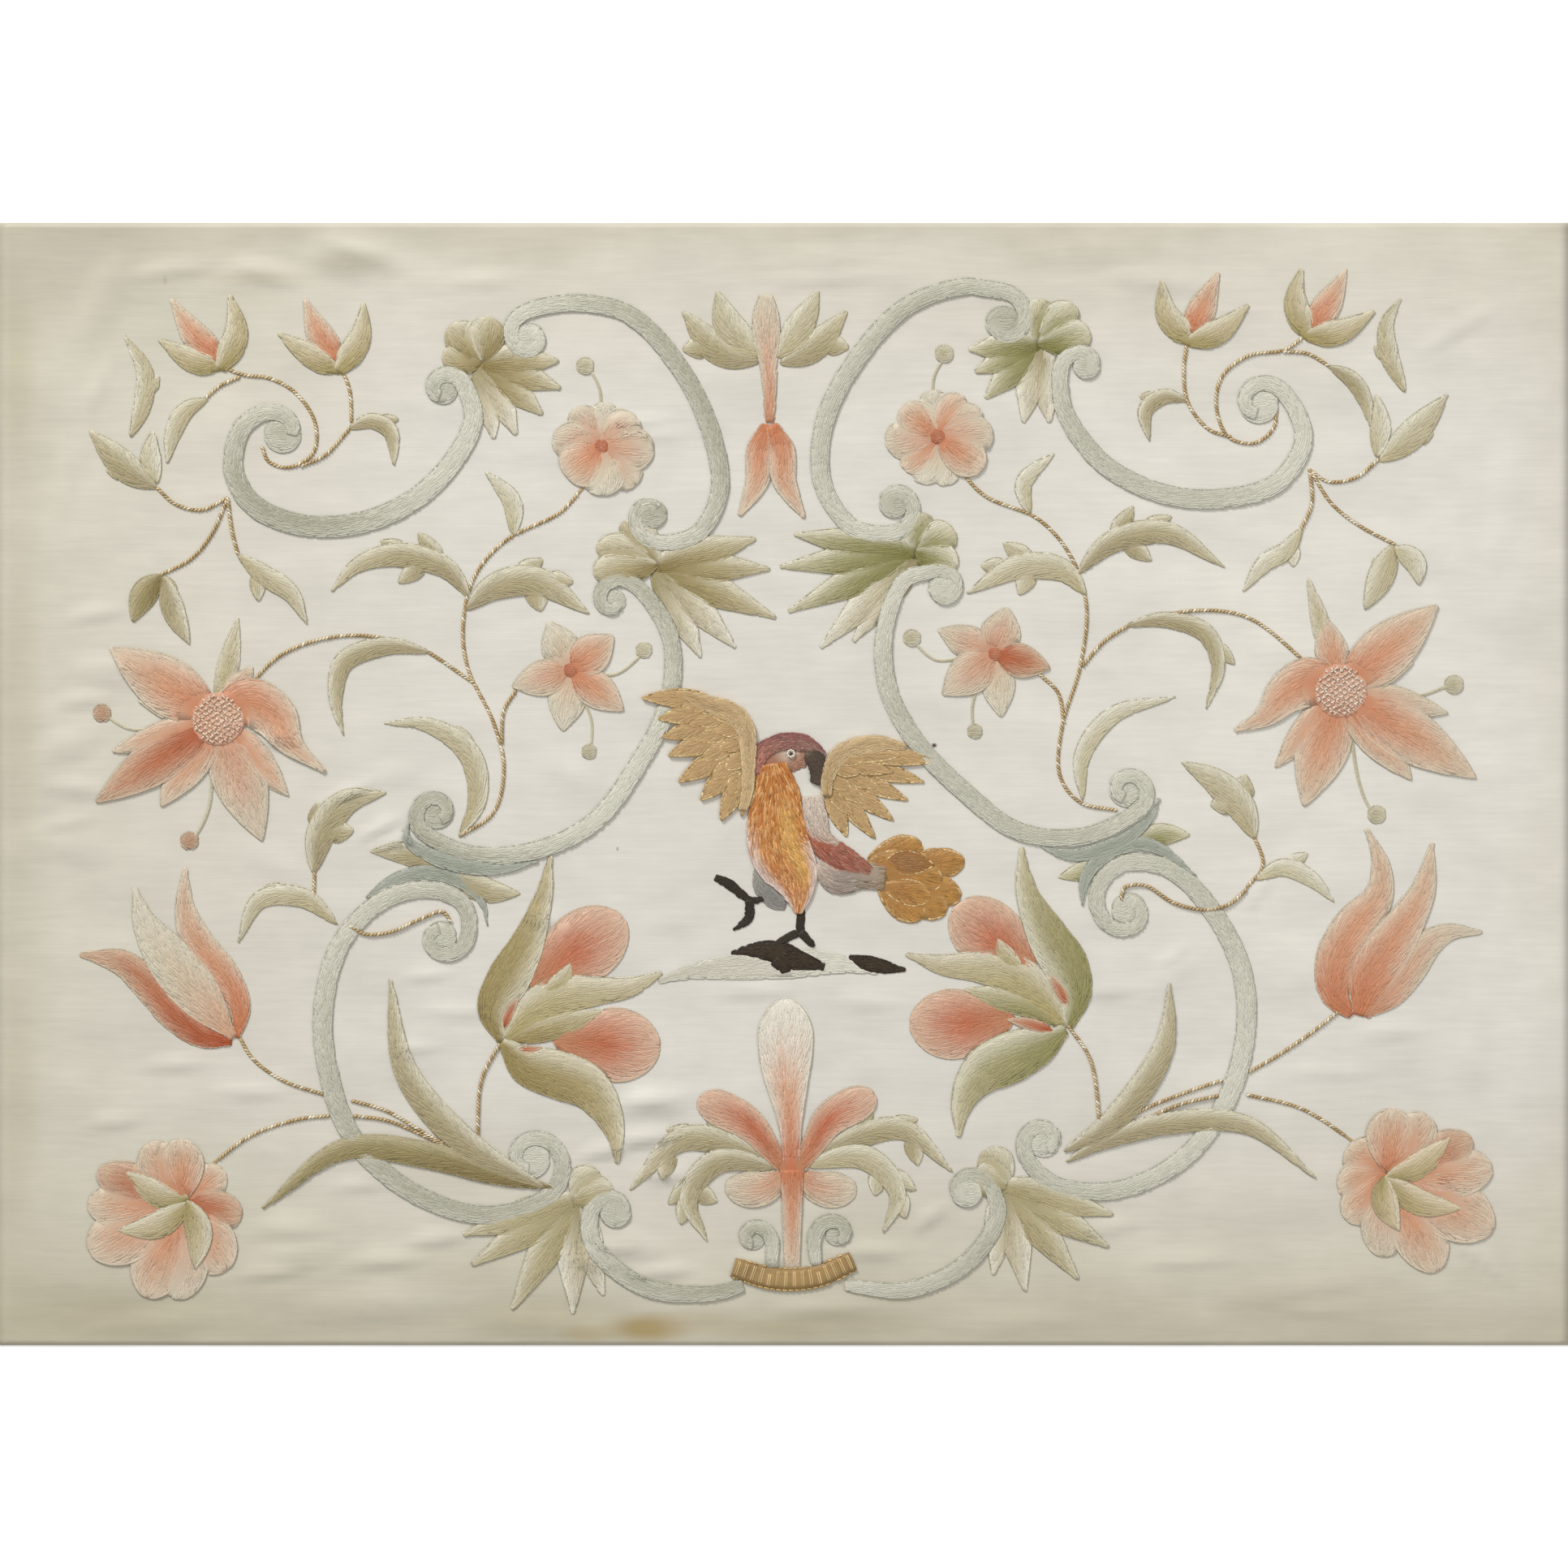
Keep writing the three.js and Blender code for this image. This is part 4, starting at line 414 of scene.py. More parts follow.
# The nodes in the order in which they lie, the topmost first
layers = [
  "wing_left", "wing_right", "bird", "mound", "coronet", "palmette", "drop", "crest", "stand_left",
  "stand_right",
  "scroll_1_left", "scroll_1_right", "scroll_2_left", "scroll_2_right", "scroll_3_left", "scroll_3_right",
  "scroll_4_left", "scroll_4_right", "scroll_5_left", "scroll_5_right",
  "husk_1_left", "husk_1_right", "husk_2_left", "husk_2_right", "husk_3_left", "husk_3_right",
  "lobe_left", "lobe_right", "flower_round_left", "flower_round_right", "flower_small_left",
  "flower_small_right", "star_left", "star_right", "rosette_left", "rosette_right", "tulip_left",
  "tulip_right", "pomegranate_left", "pomegranate_right", "bud_1_left", "bud_2_left", "bud_1_right",
  "bud_2_right", "branch_left", "branch_right", "sprig_upper_left", "sprig_upper_right",
  "sprig_outer_left", "sprig_outer_right", "sprig_middle_left", "sprig_middle_right",
  "leaf_lone_left", "leaf_lone_right",
]

# How dark each scroll is at even steps along it, from 0, pale, to 1, deep
scrollShades = {
    "scroll_1_left": [0.5, 0.3, 0.7, 0.8, 0.9, 0.7, 0.35, 0.1, 0.1, 0.2, 0.5],
    "scroll_1_right": [0.35, 0.2, 0.5, 0.45, 0.35, 0.45, 0.35, 0.05, 0.0, 0.3, 0.05],
    "scroll_2_left": [0.2, 0.1, 0.3, 0.6, 0.65, 0.75, 0.7, 0.6, 0.3, 0.05, 0.7],
    "scroll_2_right": [0.6, 0.3, 0.45, 0.65, 0.5, 0.4, 0.4, 0.3, 0.05, 0.3, 0.6],
    "scroll_3_left": [0.35, 0.7, 0.5, 0.4, 0.05, 0.0, 0.1, 0.4, 0.7, 0.7, 0.6],
    "scroll_3_right": [0.2, 0.4, 0.05, 0.3, 0.5, 0.45, 0.4, 0.5, 0.5, 0.2, 0.25],
    "scroll_4_left": [0.35, 0.6, 0.4, 0.1, 0.3, 0.5, 0.6, 0.7, 0.7, 0.4, 0.15],
    "scroll_4_right": [0.25, 0.4, 0.3, 0.4, 0.2, 0.05, 0.05, 0.2, 0.4, 0.4, 0.15],
    "scroll_5_left": [0.4, 0.5, 0.2, 0.3, 0.4, 0.7, 0.6, 0.7, 0.8, 0.8],
    "scroll_5_right": [0.2, 0.6, 0.5, 0.4, 0.6, 0.5, 0.4, 0.4, 0.3, 0.2],
    "coronet": [0.2, 0.45, 0.7, 0.5],
}

# Silks: the colour at a petal's root, at its middle, at its tip and along its edges
petalSilks = {
    "coral": ["#c27851", "#d09a78", "#cdb499", "#d7c9b3"],
    "deep": ["#a8512c", "#b9714d", "#c09a7d", "#ccb69c"],
    "blush": ["#c58c6b", "#cfaa8f", "#ccbea8", "#d1c6af"],
    "pale": ["#cb9f80", "#d2c2a8", "#d6cebb", "#d2cbb6"],
    "fruit": ["#bb8562", "#be6c49", "#cea58b", "#d7bba2"],
    "central": ["#c1663f", "#d6a685", "#e6e2d5", "#e3ddcd"],
    "sepal": ["#a2935c", "#c1b390", "#c8be9f", "#d8d1bb"],
    "greenSepal": ["#a0915f", "#c2b188", "#d0c1a2", "#dccfb6"],
    "olive": ["#998755", "#ab9c6e", "#c6ba9a", "#d8d1ba"],
    "sage": ["#aea06c", "#beb28c", "#c6bba0", "#d6cfba"],
    "green": ["#8f8955", "#a69e72", "#c8be9e", "#d8d3bd"],
}
leafSilks = {
    "olive": ["#a59878", "#ada17b", "#c5bb9d", "#d8d2bd"],
    "darkOlive": ["#837347", "#988a5d", "#a4986f", "#bbb08e"],
    "sage": ["#b9ad88", "#c0b697", "#c5bda2", "#d9d4c0"],
    "pale": ["#c0b693", "#cec6ad", "#d0c9b2", "#dfdbcb"],
    "green": ["#7e7c49", "#9b9564", "#d0c8a8", "#d9d3bd"],
}
huskSilks = {
    "olive": ["#8a7949", "#ac9e73", "#c6bc9e", "#d9d3be"],
    "green": ["#7b763d", "#9b9565", "#ccc4a8", "#dad5c1"],
    "sage": ["#a69a70", "#b8ac84", "#c3ba9e", "#d6d0bb"],
    "pale": ["#978a60", "#cbc1a5", "#d7d0bd", "#e2ddcd"],
}
seedSilks = {
    "coral": ["#c0a48c", "#b48d6e", "#b59a80", "#b99f86"],
    "olive": ["#beb69a", "#b9af91", "#c5bda4", "#c9c3ab"],
    "pale": ["#b8b094", "#b4ab8e", "#bab39b", "#c0baa2"],
}
birdSilks = {
    "under": ["#c2ae9f", "#8e7f74", "#8f7859", "#b4a697"],
    "back": ["#a55a3c", "#95523b", "#8e5844", "#b3816f"],
    "shoulder": ["#cdbcaa", "#bca99a", "#ae8f76", "#d2c6b6"],
    "thigh": ["#9c998e", "#8d8982", "#837d77", "#a09c94"],
    "face": ["#a8654e", "#a57a60", "#a9826a", "#9d6650"],
    "breast": ["#c5803f", "#ca8948", "#c98f66", "#cf9a72"],
    "crown": ["#bf816b", "#986f60", "#9c7d70", "#7d4644"],
    "beak": ["#5a4a3b", "#4f4034", "#544538", "#433629"],
    "leg": ["#2f2718", "#33291a", "#2f2718", "#282014"],
    "covert": ["#b09368", "#c0a57b", "#bfa378", "#d6be94"],
    "feather": ["#a68754", "#b69568", "#be9e6f", "#cbae7c"],
    "tail": ["#a37540", "#a9783e", "#b0813f", "#c29a60"],
    "mauve": ["#986a38", "#9c7248", "#98692f", "#966126"],
    "turf": ["#c5c0ad", "#cfcaba", "#dbd7c8", "#d3cfbf"],
    "rock": ["#352919", "#3b2d1c", "#332716", "#2a1f11"],
}
scrollSilks = {"pale": "#d5d2c2", "deep": "#a09d87", "turned": ["#a9ac9e", "#999d8c", "#a7aa9d", "#babdae"]}
lineSilks = {"scroll": "#b0b1a2", "leaf": "#b2a885", "petal": "#c9bca3"}
# Gilt cord tones: the near-white light tone is a painted glint on the palest lobes
giltTonesAndGlints = {"dark": "#bb9f70", "middle": "#d7c299", "light": "#f6eed8", "bed": "#af976f"}


def linear(text):
    # an sRGB hex colour as linear light
    value = np.array([int(text[i:i + 2], 16) for i in (1, 3, 5)]) / 255
    return np.where(value <= 0.04045, value / 12.92, ((value + 0.055) / 1.055) ** 2.4)


def smoothPath(points, spacing=1.0):
    # a centripetal Catmull-Rom curve through the points, taken at even steps along its length
    samples = 24  # between one point and the next
    p = np.array(points, float)
    p = np.vstack([2 * p[0] - p[1], p, 2 * p[-1] - p[-2]])
    runs = []
    for i in range(1, len(p) - 2):
        a, b, c, d = p[i - 1:i + 3]
        t0 = 0.0
        t1 = t0 + math.sqrt(np.linalg.norm(b - a))
        t2 = t1 + math.sqrt(np.linalg.norm(c - b))
        t3 = t2 + math.sqrt(np.linalg.norm(d - c))
        t = np.linspace(t1, t2, samples)[:, None]
        ab = (t1 - t) / (t1 - t0) * a + (t - t0) / (t1 - t0) * b
        bc = (t2 - t) / (t2 - t1) * b + (t - t1) / (t2 - t1) * c
        cd = (t3 - t) / (t3 - t2) * c + (t - t2) / (t3 - t2) * d
        abc = (t2 - t) / (t2 - t0) * ab + (t - t0) / (t2 - t0) * bc
        bcd = (t3 - t) / (t3 - t1) * bc + (t - t1) / (t3 - t1) * cd
        runs.append((t2 - t) / (t2 - t1) * abc + (t - t1) / (t2 - t1) * bcd)
    dense = np.vstack(runs)
    way = np.concatenate([[0], np.cumsum(np.hypot(*np.diff(dense, axis=0).T))])
    steps = max(10, int(way[-1] / spacing))
    at = np.linspace(0, way[-1], steps + 1)
    x = np.interp(at, way, dense[:, 0])
    y = np.interp(at, way, dense[:, 1])
    dx = np.gradient(x)
    dy = np.gradient(y)
    size = np.hypot(dx, dy)
    return {"x": x, "y": y, "nx": -dy / size, "ny": dx / size, "t": at / way[-1], "length": way[-1]}


def pointedHalf(width):
    # half width of a pointed form: full before its middle and drawn out to its tip
    return lambda t: 0.5 * width * np.sin(np.pi * t ** 0.85) ** 0.9


def roundHalf(width):
    # half width of a blunt form: full beyond its middle, with a round end
    return lambda t: 0.5 * width * np.sqrt(np.sin(np.pi * np.minimum(t, 0.999) ** 1.35))


def clubHalf(widths):
    # half width of a form with a narrow foot and a round head: its widths, closed as an ellipse at the end
    even = steppedHalf(widths)
    return lambda t: even(t) * np.sqrt(1 - np.clip((t - headStart) / (1 - headStart), 0, 1) ** 2)


def steppedHalf(widths):
    # half width that goes evenly from each given width to the next
    knots = np.linspace(0, 1, len(widths))
    return lambda t: sum(share * np.interp(t + shift, knots, widths) for share, shift in
                         ((0.125, -0.06), (0.25, 0), (0.125, 0.06)))


def discHalf(radius):
    # half width of a disc that is filled across
    return lambda t: radius * 2 * np.sqrt(np.clip(t * (1 - t), 0, 1))


def bandHalf(width):
    # half width of a scroll's band, a little narrower at its two ends
    return lambda t: 0.5 * width * (0.55 + 0.45 * np.sqrt(np.sin(np.pi * t)))


def spiral(start, eye):
    # the way from a band's end into its eye: the radius shrinks by a constant ratio as the angle grows
    x, y, eyeRadius, turns = eye
    radius = windIn * eyeRadius
    startRadius = math.hypot(start[0] - x, start[1] - y)
    startAngle = math.atan2(start[1] - y, start[0] - x)
    steps = max(3, round(abs(turns) * 8))
    t = np.arange(1, steps + 1) / steps
    reach = startRadius * (radius / startRadius) ** t
    angle = startAngle + 2 * np.pi * turns * t
    return np.column_stack([x + reach * np.cos(angle), y + reach * np.sin(angle)]).tolist()


# Small puckers: as the large ones, but steeper on their lower side by the skew
skew = 0.4
smallPuckers = [
    [-66, -153, 40, 20, 4, 3.4], [-88, -178, 34, 15, 10, 2], [-70, -172, 44, 16, 6, 2.6],
    [-58, -190, 34, 15, -4, 1.9], [-80, -226, 37.4, 15, -6, 2.2], [-60, -238, 44, 15, 4, 1.7],
    [-10, -232, 39.6, 15, 3, 1.4], [44, -228, 44, 15, -4, 1.7], [70, -212, 28.6, 15, 40, 1.7],
    [20, -256, 66, 17, 2, 1.4], [-96, -232, 28.6, 15, -20, 1.7], [-172, -222, 44, 15, 6, 1.7],
    [-240, -216, 52, 22, -4, 2], [-196, -232, 55, 17, 3, 1.7], [-252, -238, 44, 15, 5, 1.7],
    [-210, -196, 33, 13, 0, 1.4], [-330, -164, 39.6, 15, 3, 1.2], [-262, -150, 48.4, 13, -3, 1.2],
    [-300, -136, 44, 13, 2, 1.2], [-176, -92, 33, 13, 4, 1.2], [-160, -110, 48.4, 13, -2, 1.2],
    [-182, -128, 37.4, 13, 3, 1.2], [-192, -26, 33, 13, 20, 1.4], [-214, -2, 35.2, 13, 24, 1.4],
    [-200, -20, 28.6, 13, 26, 1.7], [-250, 24, 33, 13, 10, 1.2], [-330, 60, 44, 15, -8, 1.4],
    [-344, 44, 39.6, 15, 4, 1.2], [-348, 0, 44, 15, -6, 1.2], [-356, -18, 37.4, 15, 10, 1.2],
    [-340, 86, 39.6, 15, 8, 1.2], [-256, 255, 48, 22, -14, 2], [-208, 265, 60, 26, -16, 2.6],
    [-300, 256, 55, 17, 6, 1.2], [-150, 250, 44, 15, 0, 1.0], [-70, 180, 39.6, 13, 3, 1.2],
    [-66, 174, 44, 13, 0, 1.0], [190, -84, 24.2, 13, 38, 1.2], [232, -52, 26.4, 13, 60, 1.2],
    [160, -100, 44, 13, 4, 1.0], [270, -140, 55, 13, -2, 1.0], [300, -120, 48.4, 13, 2, 1.0],
    [200, -232, 66, 17, 3, 1.2], [262, -256, 66, 17, -2, 1.2], [344, -232, 44, 15, -40, 1.2],
    [332, -196, 33, 15, -50, 1.0], [120, -262, 66, 17, 0, 1.4], [160, -216, 55, 15, 8, 1.0],
    [-14, -100, 66, 13, 2, 1.0], [40, -106, 44, 13, -3, 1.0], [-118, -64, 28.6, 13, -12, 1.2],
    [190, 250, 77, 19, -8, 1.2], [330, 226, 55, 17, 30, 1.0], [20, 252, 77, 17, 2, 1.0],
    [-340, 196, 39.6, 15, 70, 1.0], [-356, 150, 55, 17, 84, 1.0],
]


def swell(x, y):
    # height of the silk: flat but for the soft lens of each pucker
    height = np.zeros_like(x, dtype=float)
    for index, (centreX, centreY, length, width, turn, rise) in enumerate(puckers + smallPuckers):
        angle = math.radians(turn)
        along = ((x - centreX) * math.cos(angle) + (y - centreY) * math.sin(angle)) / (length / 2)
        across = ((y - centreY) * math.cos(angle) - (x - centreX) * math.sin(angle)) / (width / 2)
        if index >= len(puckers):
            across = across - skew * (np.clip(across, -1, 1) ** 2 - 1)
        inside = np.clip(1 - along ** 2 - across ** 2, 0, None)
        height = np.maximum(height, rise * inside ** 2)
    return height


patches = []


def addPatch(node, kind, silk, points, half, spacing=1.0, outline=None, shade=None):
    # a form: a curve with a half width at each point, kept for painting, padding and stitching
    path = smoothPath(points, spacing)
    path["half"] = np.maximum(half(path["t"]), 0.4)
    patches.append({"node": node, "kind": kind, "silk": silk, "outline": outline, "shade": shade, **path})


def addDisc(node, kind, silk, x, y, radius, outline=None):
    # a disc is a form as long as it is wide
    addPatch(node, kind, silk, [[x - radius, y], [x + radius, y]], discHalf(radius), 0.5, outline)


def leafSide(patch):
    # the lower side of a leaf is its dark one: 1 to the left of the way to its tip, -1 to the right
    return -1 if patch["ny"][len(patch["ny"]) // 2] > 0 else 1


# Short feathers over the roots of the long ones, and the middle lobes of the tail
shortFeathers = [
    ["wing_left", "feather", -19, 7, -28, -6, 9], ["wing_left", "feather", -20, 14, -36, 2, 9.5],
    ["wing_left", "feather", -22, 21, -41, 12, 9.5], ["wing_left", "feather", -24, 27, -44, 21.5, 9],
    ["wing_left", "feather", -26, 33, -46, 30.5, 9], ["wing_left", "feather", -29, 38, -50, 39, 8.5],
    ["wing_left", "feather", -17, 6, -23, -3, 8], ["wing_left", "feather", -18, 15, -29, 7, 8.5],
    ["wing_left", "feather", -18, 22, -32, 17, 8.5], ["wing_left", "feather", -20, 28, -34, 26, 8.5],
    ["wing_left", "feather", -22, 33, -37, 35, 8],
    ["wing_right", "feather", 22, -1, 34, -16, 8.5], ["wing_right", "feather", 22, 3, 41, -10, 8.5],
    ["wing_right", "feather", 24, 7, 47, -2, 8.5], ["wing_right", "feather", 26, 11, 54, 6, 8.5],
    ["wing_right", "feather", 28, 15, 58, 14, 8.5], ["wing_right", "feather", 22, 4, 33, -3, 8],
    ["wing_right", "feather", 24, 9, 37, 5, 8], ["wing_right", "feather", 26, 13, 40, 12, 8],
    ["bird", "mauve", 50, -38, 74, -40, 13], ["bird", "tail", 48, -50, 72, -56, 14],
]

# The discs in the middle of the flowers, and how much darker than its band an eye is at its two ends
heart = {"radius": 3.4, "silk": ["#b0694a", "#bb7c5e", "#b0694a", "#b0694a"]}
eyeShade = [0.95, 1.25]


def addForms(node):
    # the forms of one node, from the lowest up
    for name, points in cords:
        if name == node and not node.startswith("scroll"):
            addPatch(node, "cord", None, points, lambda t: 0.5 * gilt["bed"] + 0 * t)
    for name, width, points, seed in stamens:
        if name == node:
            silk = leafSilks["sage"]
            addPatch(node, "stalk", silk, [*points, seed[:2]], lambda t: 0.45 * width + 0 * t)
            tone = seedSilks[seed[3]]
            addDisc(node, "seed", tone, *seed[:3], outline="petal")
    for name, silk, width, points, teeth in leaves:
        if name == node:
            path = smoothPath(points, 1.0)
            for tip in teeth:
                near = int(np.argmin(np.hypot(path["x"] - tip[0], path["y"] - tip[1])))
                root = max(near - len(path["x"]) // 6, 0)
                start = [path["x"][root], path["y"][root]]
                addPatch(node, "leaf", leafSilks[silk], [start, tip], pointedHalf(width * toothShare),
                         outline="leaf")
            addPatch(node, "leaf", leafSilks[silk], points, pointedHalf(width), outline="leaf")
    for name, silk, centre, blunt, pointed in husks:
        if name == node:
            for k, tip in enumerate(pointed[::-1]):
                tone = huskSilks["pale"] if k < 2 else huskSilks[silk]
                addPatch(node, "husk", tone, [centre, tip], steppedHalf(huskWidths), outline="leaf")
            for tip in blunt:
                addPatch(node, "husk", huskSilks[silk], [centre, tip], roundHalf(bluntHuskWidth),
                         outline="leaf")
    for name, centre, shape, rows in flowers:
        if name == node:
            half = roundHalf if shape == "round" else pointedHalf
            for x, y, width, silk in rows:
                addPatch(node, "petal", petalSilks[silk], [centre, [x, y]], half(width), outline="petal")
    for name, silk, width, shape, points, *side in petals:
        if name == node:
            half = {"round": roundHalf, "point": pointedHalf, "step": steppedHalf, "club": clubHalf}[shape]
            leafy = silk in ("olive", "green", "sage", "sepal", "greenSepal")
            addPatch(node, "petal", petalSilks[silk], points, half(width),
                     outline="leaf" if leafy else "petal")
            patches[-1]["side"] = side[0] if side else leafSide(patches[-1]) if leafy else 0
    for name, centre, shape, rows in flowers:
        if name == node and node.startswith("star"):
            addDisc(node, "trellis", trellis["silk"], *centre, trellis["radius"])
        elif name == node and node.startswith("flower"):
            addDisc(node, "heart", heart["silk"], *centre, heart["radius"])
    for name, silk, points, widths in stalks:
        if name == node and silk != "gold":
            addPatch(node, "petal", petalSilks[silk], points, steppedHalf(widths), outline="petal")
        elif name == node:
            addPatch(node, "ribs", ribs["silk"], points, steppedHalf(widths))
    for name, width, startEye, through, endEye in scrolls:
        if name == node:
            start = spiral(through[0], startEye)[::-1] if startEye else []
            end = spiral(through[-1], endEye) if endEye else []
            shades = scrollShades[node]
            for eye, dark in ((startEye, shades[0]), (endEye, shades[-1])):
                if eye:
                    addDisc(node, "eye", None, *eye[:3], outline="scroll")
                    patches[-1]["shade"] = [dark * share for share in eyeShade]
            addPatch(node, "scroll", None, [*start, *through, *end], bandHalf(width), outline="scroll",
                     shade=shades)
    for name, width, points in turnovers:
        if name == node:
            addPatch(node, "turned", scrollSilks["turned"], points, pointedHalf(width), outline="scroll")
            cordHalf = 0.5 * gilt["bed"]
            for cordName, cord in cords:
                if cordName == node:
                    addPatch(node, "cord", None, cord, lambda t: cordHalf + 0 * t)
    for name, form, baseX, baseY, tipX, tipY, width in feathers + shortFeathers:
        if name == node:
            addPatch(node, form, birdSilks[form], [[baseX, baseY], [tipX, tipY]],
                     (roundHalf if form == "tail" else pointedHalf)(width), 0.7, outline="gilt")
    for name, form, points, widths in birdForms + moundForms:
        if name == node:
            addPatch(node, form, birdSilks[form], points, steppedHalf(widths), 0.7)


def makeRaster():
    # which form shows at each place: later forms are painted over earlier ones, and each lies a step higher
    columns = int(panelWidth / raster["cell"]) + 1
    rows = int(panelHeight / raster["cell"]) + 1
    raster["shown"] = np.full((rows, columns), -1, np.int16)
    raster["rank"] = np.zeros((rows, columns), np.int16)
    for index, patch in enumerate(patches):
        reach = patch["half"].max() + 1
        lowX = int((patch["x"].min() - reach + panelWidth / 2) / raster["cell"])
        highX = int((patch["x"].max() + reach + panelWidth / 2) / raster["cell"]) + 1
        lowY = int((patch["y"].min() - reach + panelHeight / 2) / raster["cell"])
        highY = int((patch["y"].max() + reach + panelHeight / 2) / raster["cell"]) + 1
        window = (slice(max(lowY, 0), min(highY, rows)), slice(max(lowX, 0), min(highX, columns)))
        ys = (np.arange(rows)[window[0]] * raster["cell"] - panelHeight / 2).astype(np.float32)
        xs = (np.arange(columns)[window[1]] * raster["cell"] - panelWidth / 2).astype(np.float32)
        gap = np.full((len(ys), len(xs)), 99.0, np.float32)
        for k in range(len(patch["x"])):
            dx = xs[None, :] - patch["x"][k]
            dy = ys[:, None] - patch["y"][k]
            gap = np.minimum(gap, np.sqrt(dx * dx + dy * dy) - patch["half"][k])
        inside = gap <= raster["margin"]
        under = raster["rank"][window][inside]
        patch["rank"] = int(under.max()) + 1 if under.size else 1
        raster["shown"][window][inside] = index
        raster["rank"][window][inside] = patch["rank"]


def shownAt(x, y):
    # the form that shows in the cell nearest to each point
    rows, columns = raster["shown"].shape
    column = np.rint((x + panelWidth / 2) / raster["cell"]).astype(int)
    row = np.rint((y + panelHeight / 2) / raster["cell"]).astype(int)
    return raster["shown"][np.clip(row, 0, rows - 1), np.clip(column, 0, columns - 1)]


def placeOn(patch, t, v):
    # the point at t along a form and v across it, from -1 to 1
    half = np.interp(t, patch["t"], patch["half"])
    x = np.interp(t, patch["t"], patch["x"]) + np.interp(t, patch["t"], patch["nx"]) * half * v
    y = np.interp(t, patch["t"], patch["y"]) + np.interp(t, patch["t"], patch["ny"]) * half * v
    return x, y


def liftOf(patch, t, v):
    # height of the stitches' bed: a low dome across the form, on the step of its rank
    half = np.interp(t, patch["t"], patch["half"])
    dome = stitch["dome"] * np.clip(half / 6, 0, 1) * (1 - np.clip(np.abs(v), 0, 1) ** 2)
    if patch["kind"] == "turf":
        dome = stitch["turfDome"] * dome
    return stitch["pad"] + stitch["rank"] * patch["rank"] + dome


def mix(a, b, amount):
    # from a to b as the amount goes from 0 to 1
    return a + (b - a) * np.clip(amount, 0, 1)[..., None]


def bell(value, centre, spread):
    # 1 at the centre, falling away evenly on both sides
    return np.exp(-((value - centre) / spread) ** 2)


def ramp(value, low, high):
    # 0 below low and 1 above high, with a smooth rise between
    share = np.clip((value - low) / (high - low), 0, 1)
    return share * share * (3 - 2 * share)


def silkColour(patch, t, v):
    # root to middle to tip along the form, then towards the edge colour at its sides
    kind = patch["kind"]
    if kind in ("scroll", "eye"):
        shades = patch["shade"] or [0.5, 0.5]
        dark = np.interp(t, np.linspace(0, 1, len(shades)), shades)
        side = 0.8 + 0.2 * np.sin(2.2 * v + 0.6)
        return mix(linear(scrollSilks["pale"]), linear(scrollSilks["deep"]), dark * side)
    root, middle, tip, edge = (linear(c) for c in patch["silk"])
    colour = mix(mix(root, middle, t / 0.5), tip, (t - 0.5) / 0.5)
    if kind in ("leaf", "husk") or patch.get("side"):
        # one side of a leaf is dark, the other pale
        side = patch.get("side") or leafSide(patch)
        dark = np.clip(0.5 + 0.5 * side * v, 0, 1)
        colour = mix(edge + 0 * colour, colour, ramp(dark, -0.1, 0.6))
        return mix(colour, root, 0.6 * ramp(dark, 0.35, 1.0) * (1 - 0.8 * t))
    if kind == "breast":
        # orange down the left side, a golden stripe right of the middle, blush along the lower edges
        gold = bell(v, 0.38, 0.3) * ramp(t, 0.15, 0.35) * (1 - ramp(t, 0.7, 1))
        pale = ramp(-v, 0.5, 0.95) * ramp(t, 0.35, 0.55) + ramp(v, 0.55, 0.9) * ramp(t, 0.5, 0.7)
        streak = rng.beta(0.7, 1.6, t.shape[:1] + (1,) * (t.ndim - 1))
        colour = mix(colour, linear("#d9ae5c"), gold * 0.9)
        colour = mix(colour, linear("#9c5524"), streak * 0.85 * (1 - 0.6 * gold) + 0 * t)
        colour = mix(colour, linear("#dcae74"), (streak < 0.12) * 0.75 + 0 * t)
        return mix(colour, linear("#d8c2b4"), pale)
    if kind in ("back", "under", "shoulder", "face", "crown"):
        streak = rng.beta(0.8, 1.2, t.shape[:1] + (1,) * (t.ndim - 1))
        colour = mix(colour, edge, streak * 0.7 + 0 * t)
        if kind == "face":
            colour = mix(colour, linear("#dccbb8"), bell(t, 0.66, 0.16) * bell(v, 0.35, 0.5))
        if kind == "crown":
            colour = mix(colour, edge, ramp(v, 0.1, 0.9) * 0.7)
        return colour
    if kind == "petal" or kind == "seed":
        edgeShare = np.maximum(0.95 * np.abs(v) ** 1.6 * ramp(t, 0.05, 0.45), 0.7 * ramp(t, 0.74, 1.0))
        return mix(mix(colour, tip, ramp(t, 0.5, 1.0) * 0.6), edge, edgeShare)
    return mix(colour, edge, 0.75 * np.abs(v) ** 2.5)


def shaken(colour, amount):
    # each stitch is dyed and lit a little unlike the next
    shake = rng.normal(0, amount, (*colour.shape[:1], *([1] * (colour.ndim - 2)), 1))
    return np.clip(colour * (1 + shake), 0, 1)


store = {name: [] for name in layers}
stations = np.array([0.0, 0.22, 0.78, 1.0])


def addThreads(node, x, y, lift, width, rise, colour, metal=0):
    # x, y, lift and colour have four stations for each thread, from one tip to the other
    store[node].append({"x": x, "y": y, "lift": lift, "width": width, "rise": rise, "colour": colour,
                        "metal": np.full(len(x), metal)})


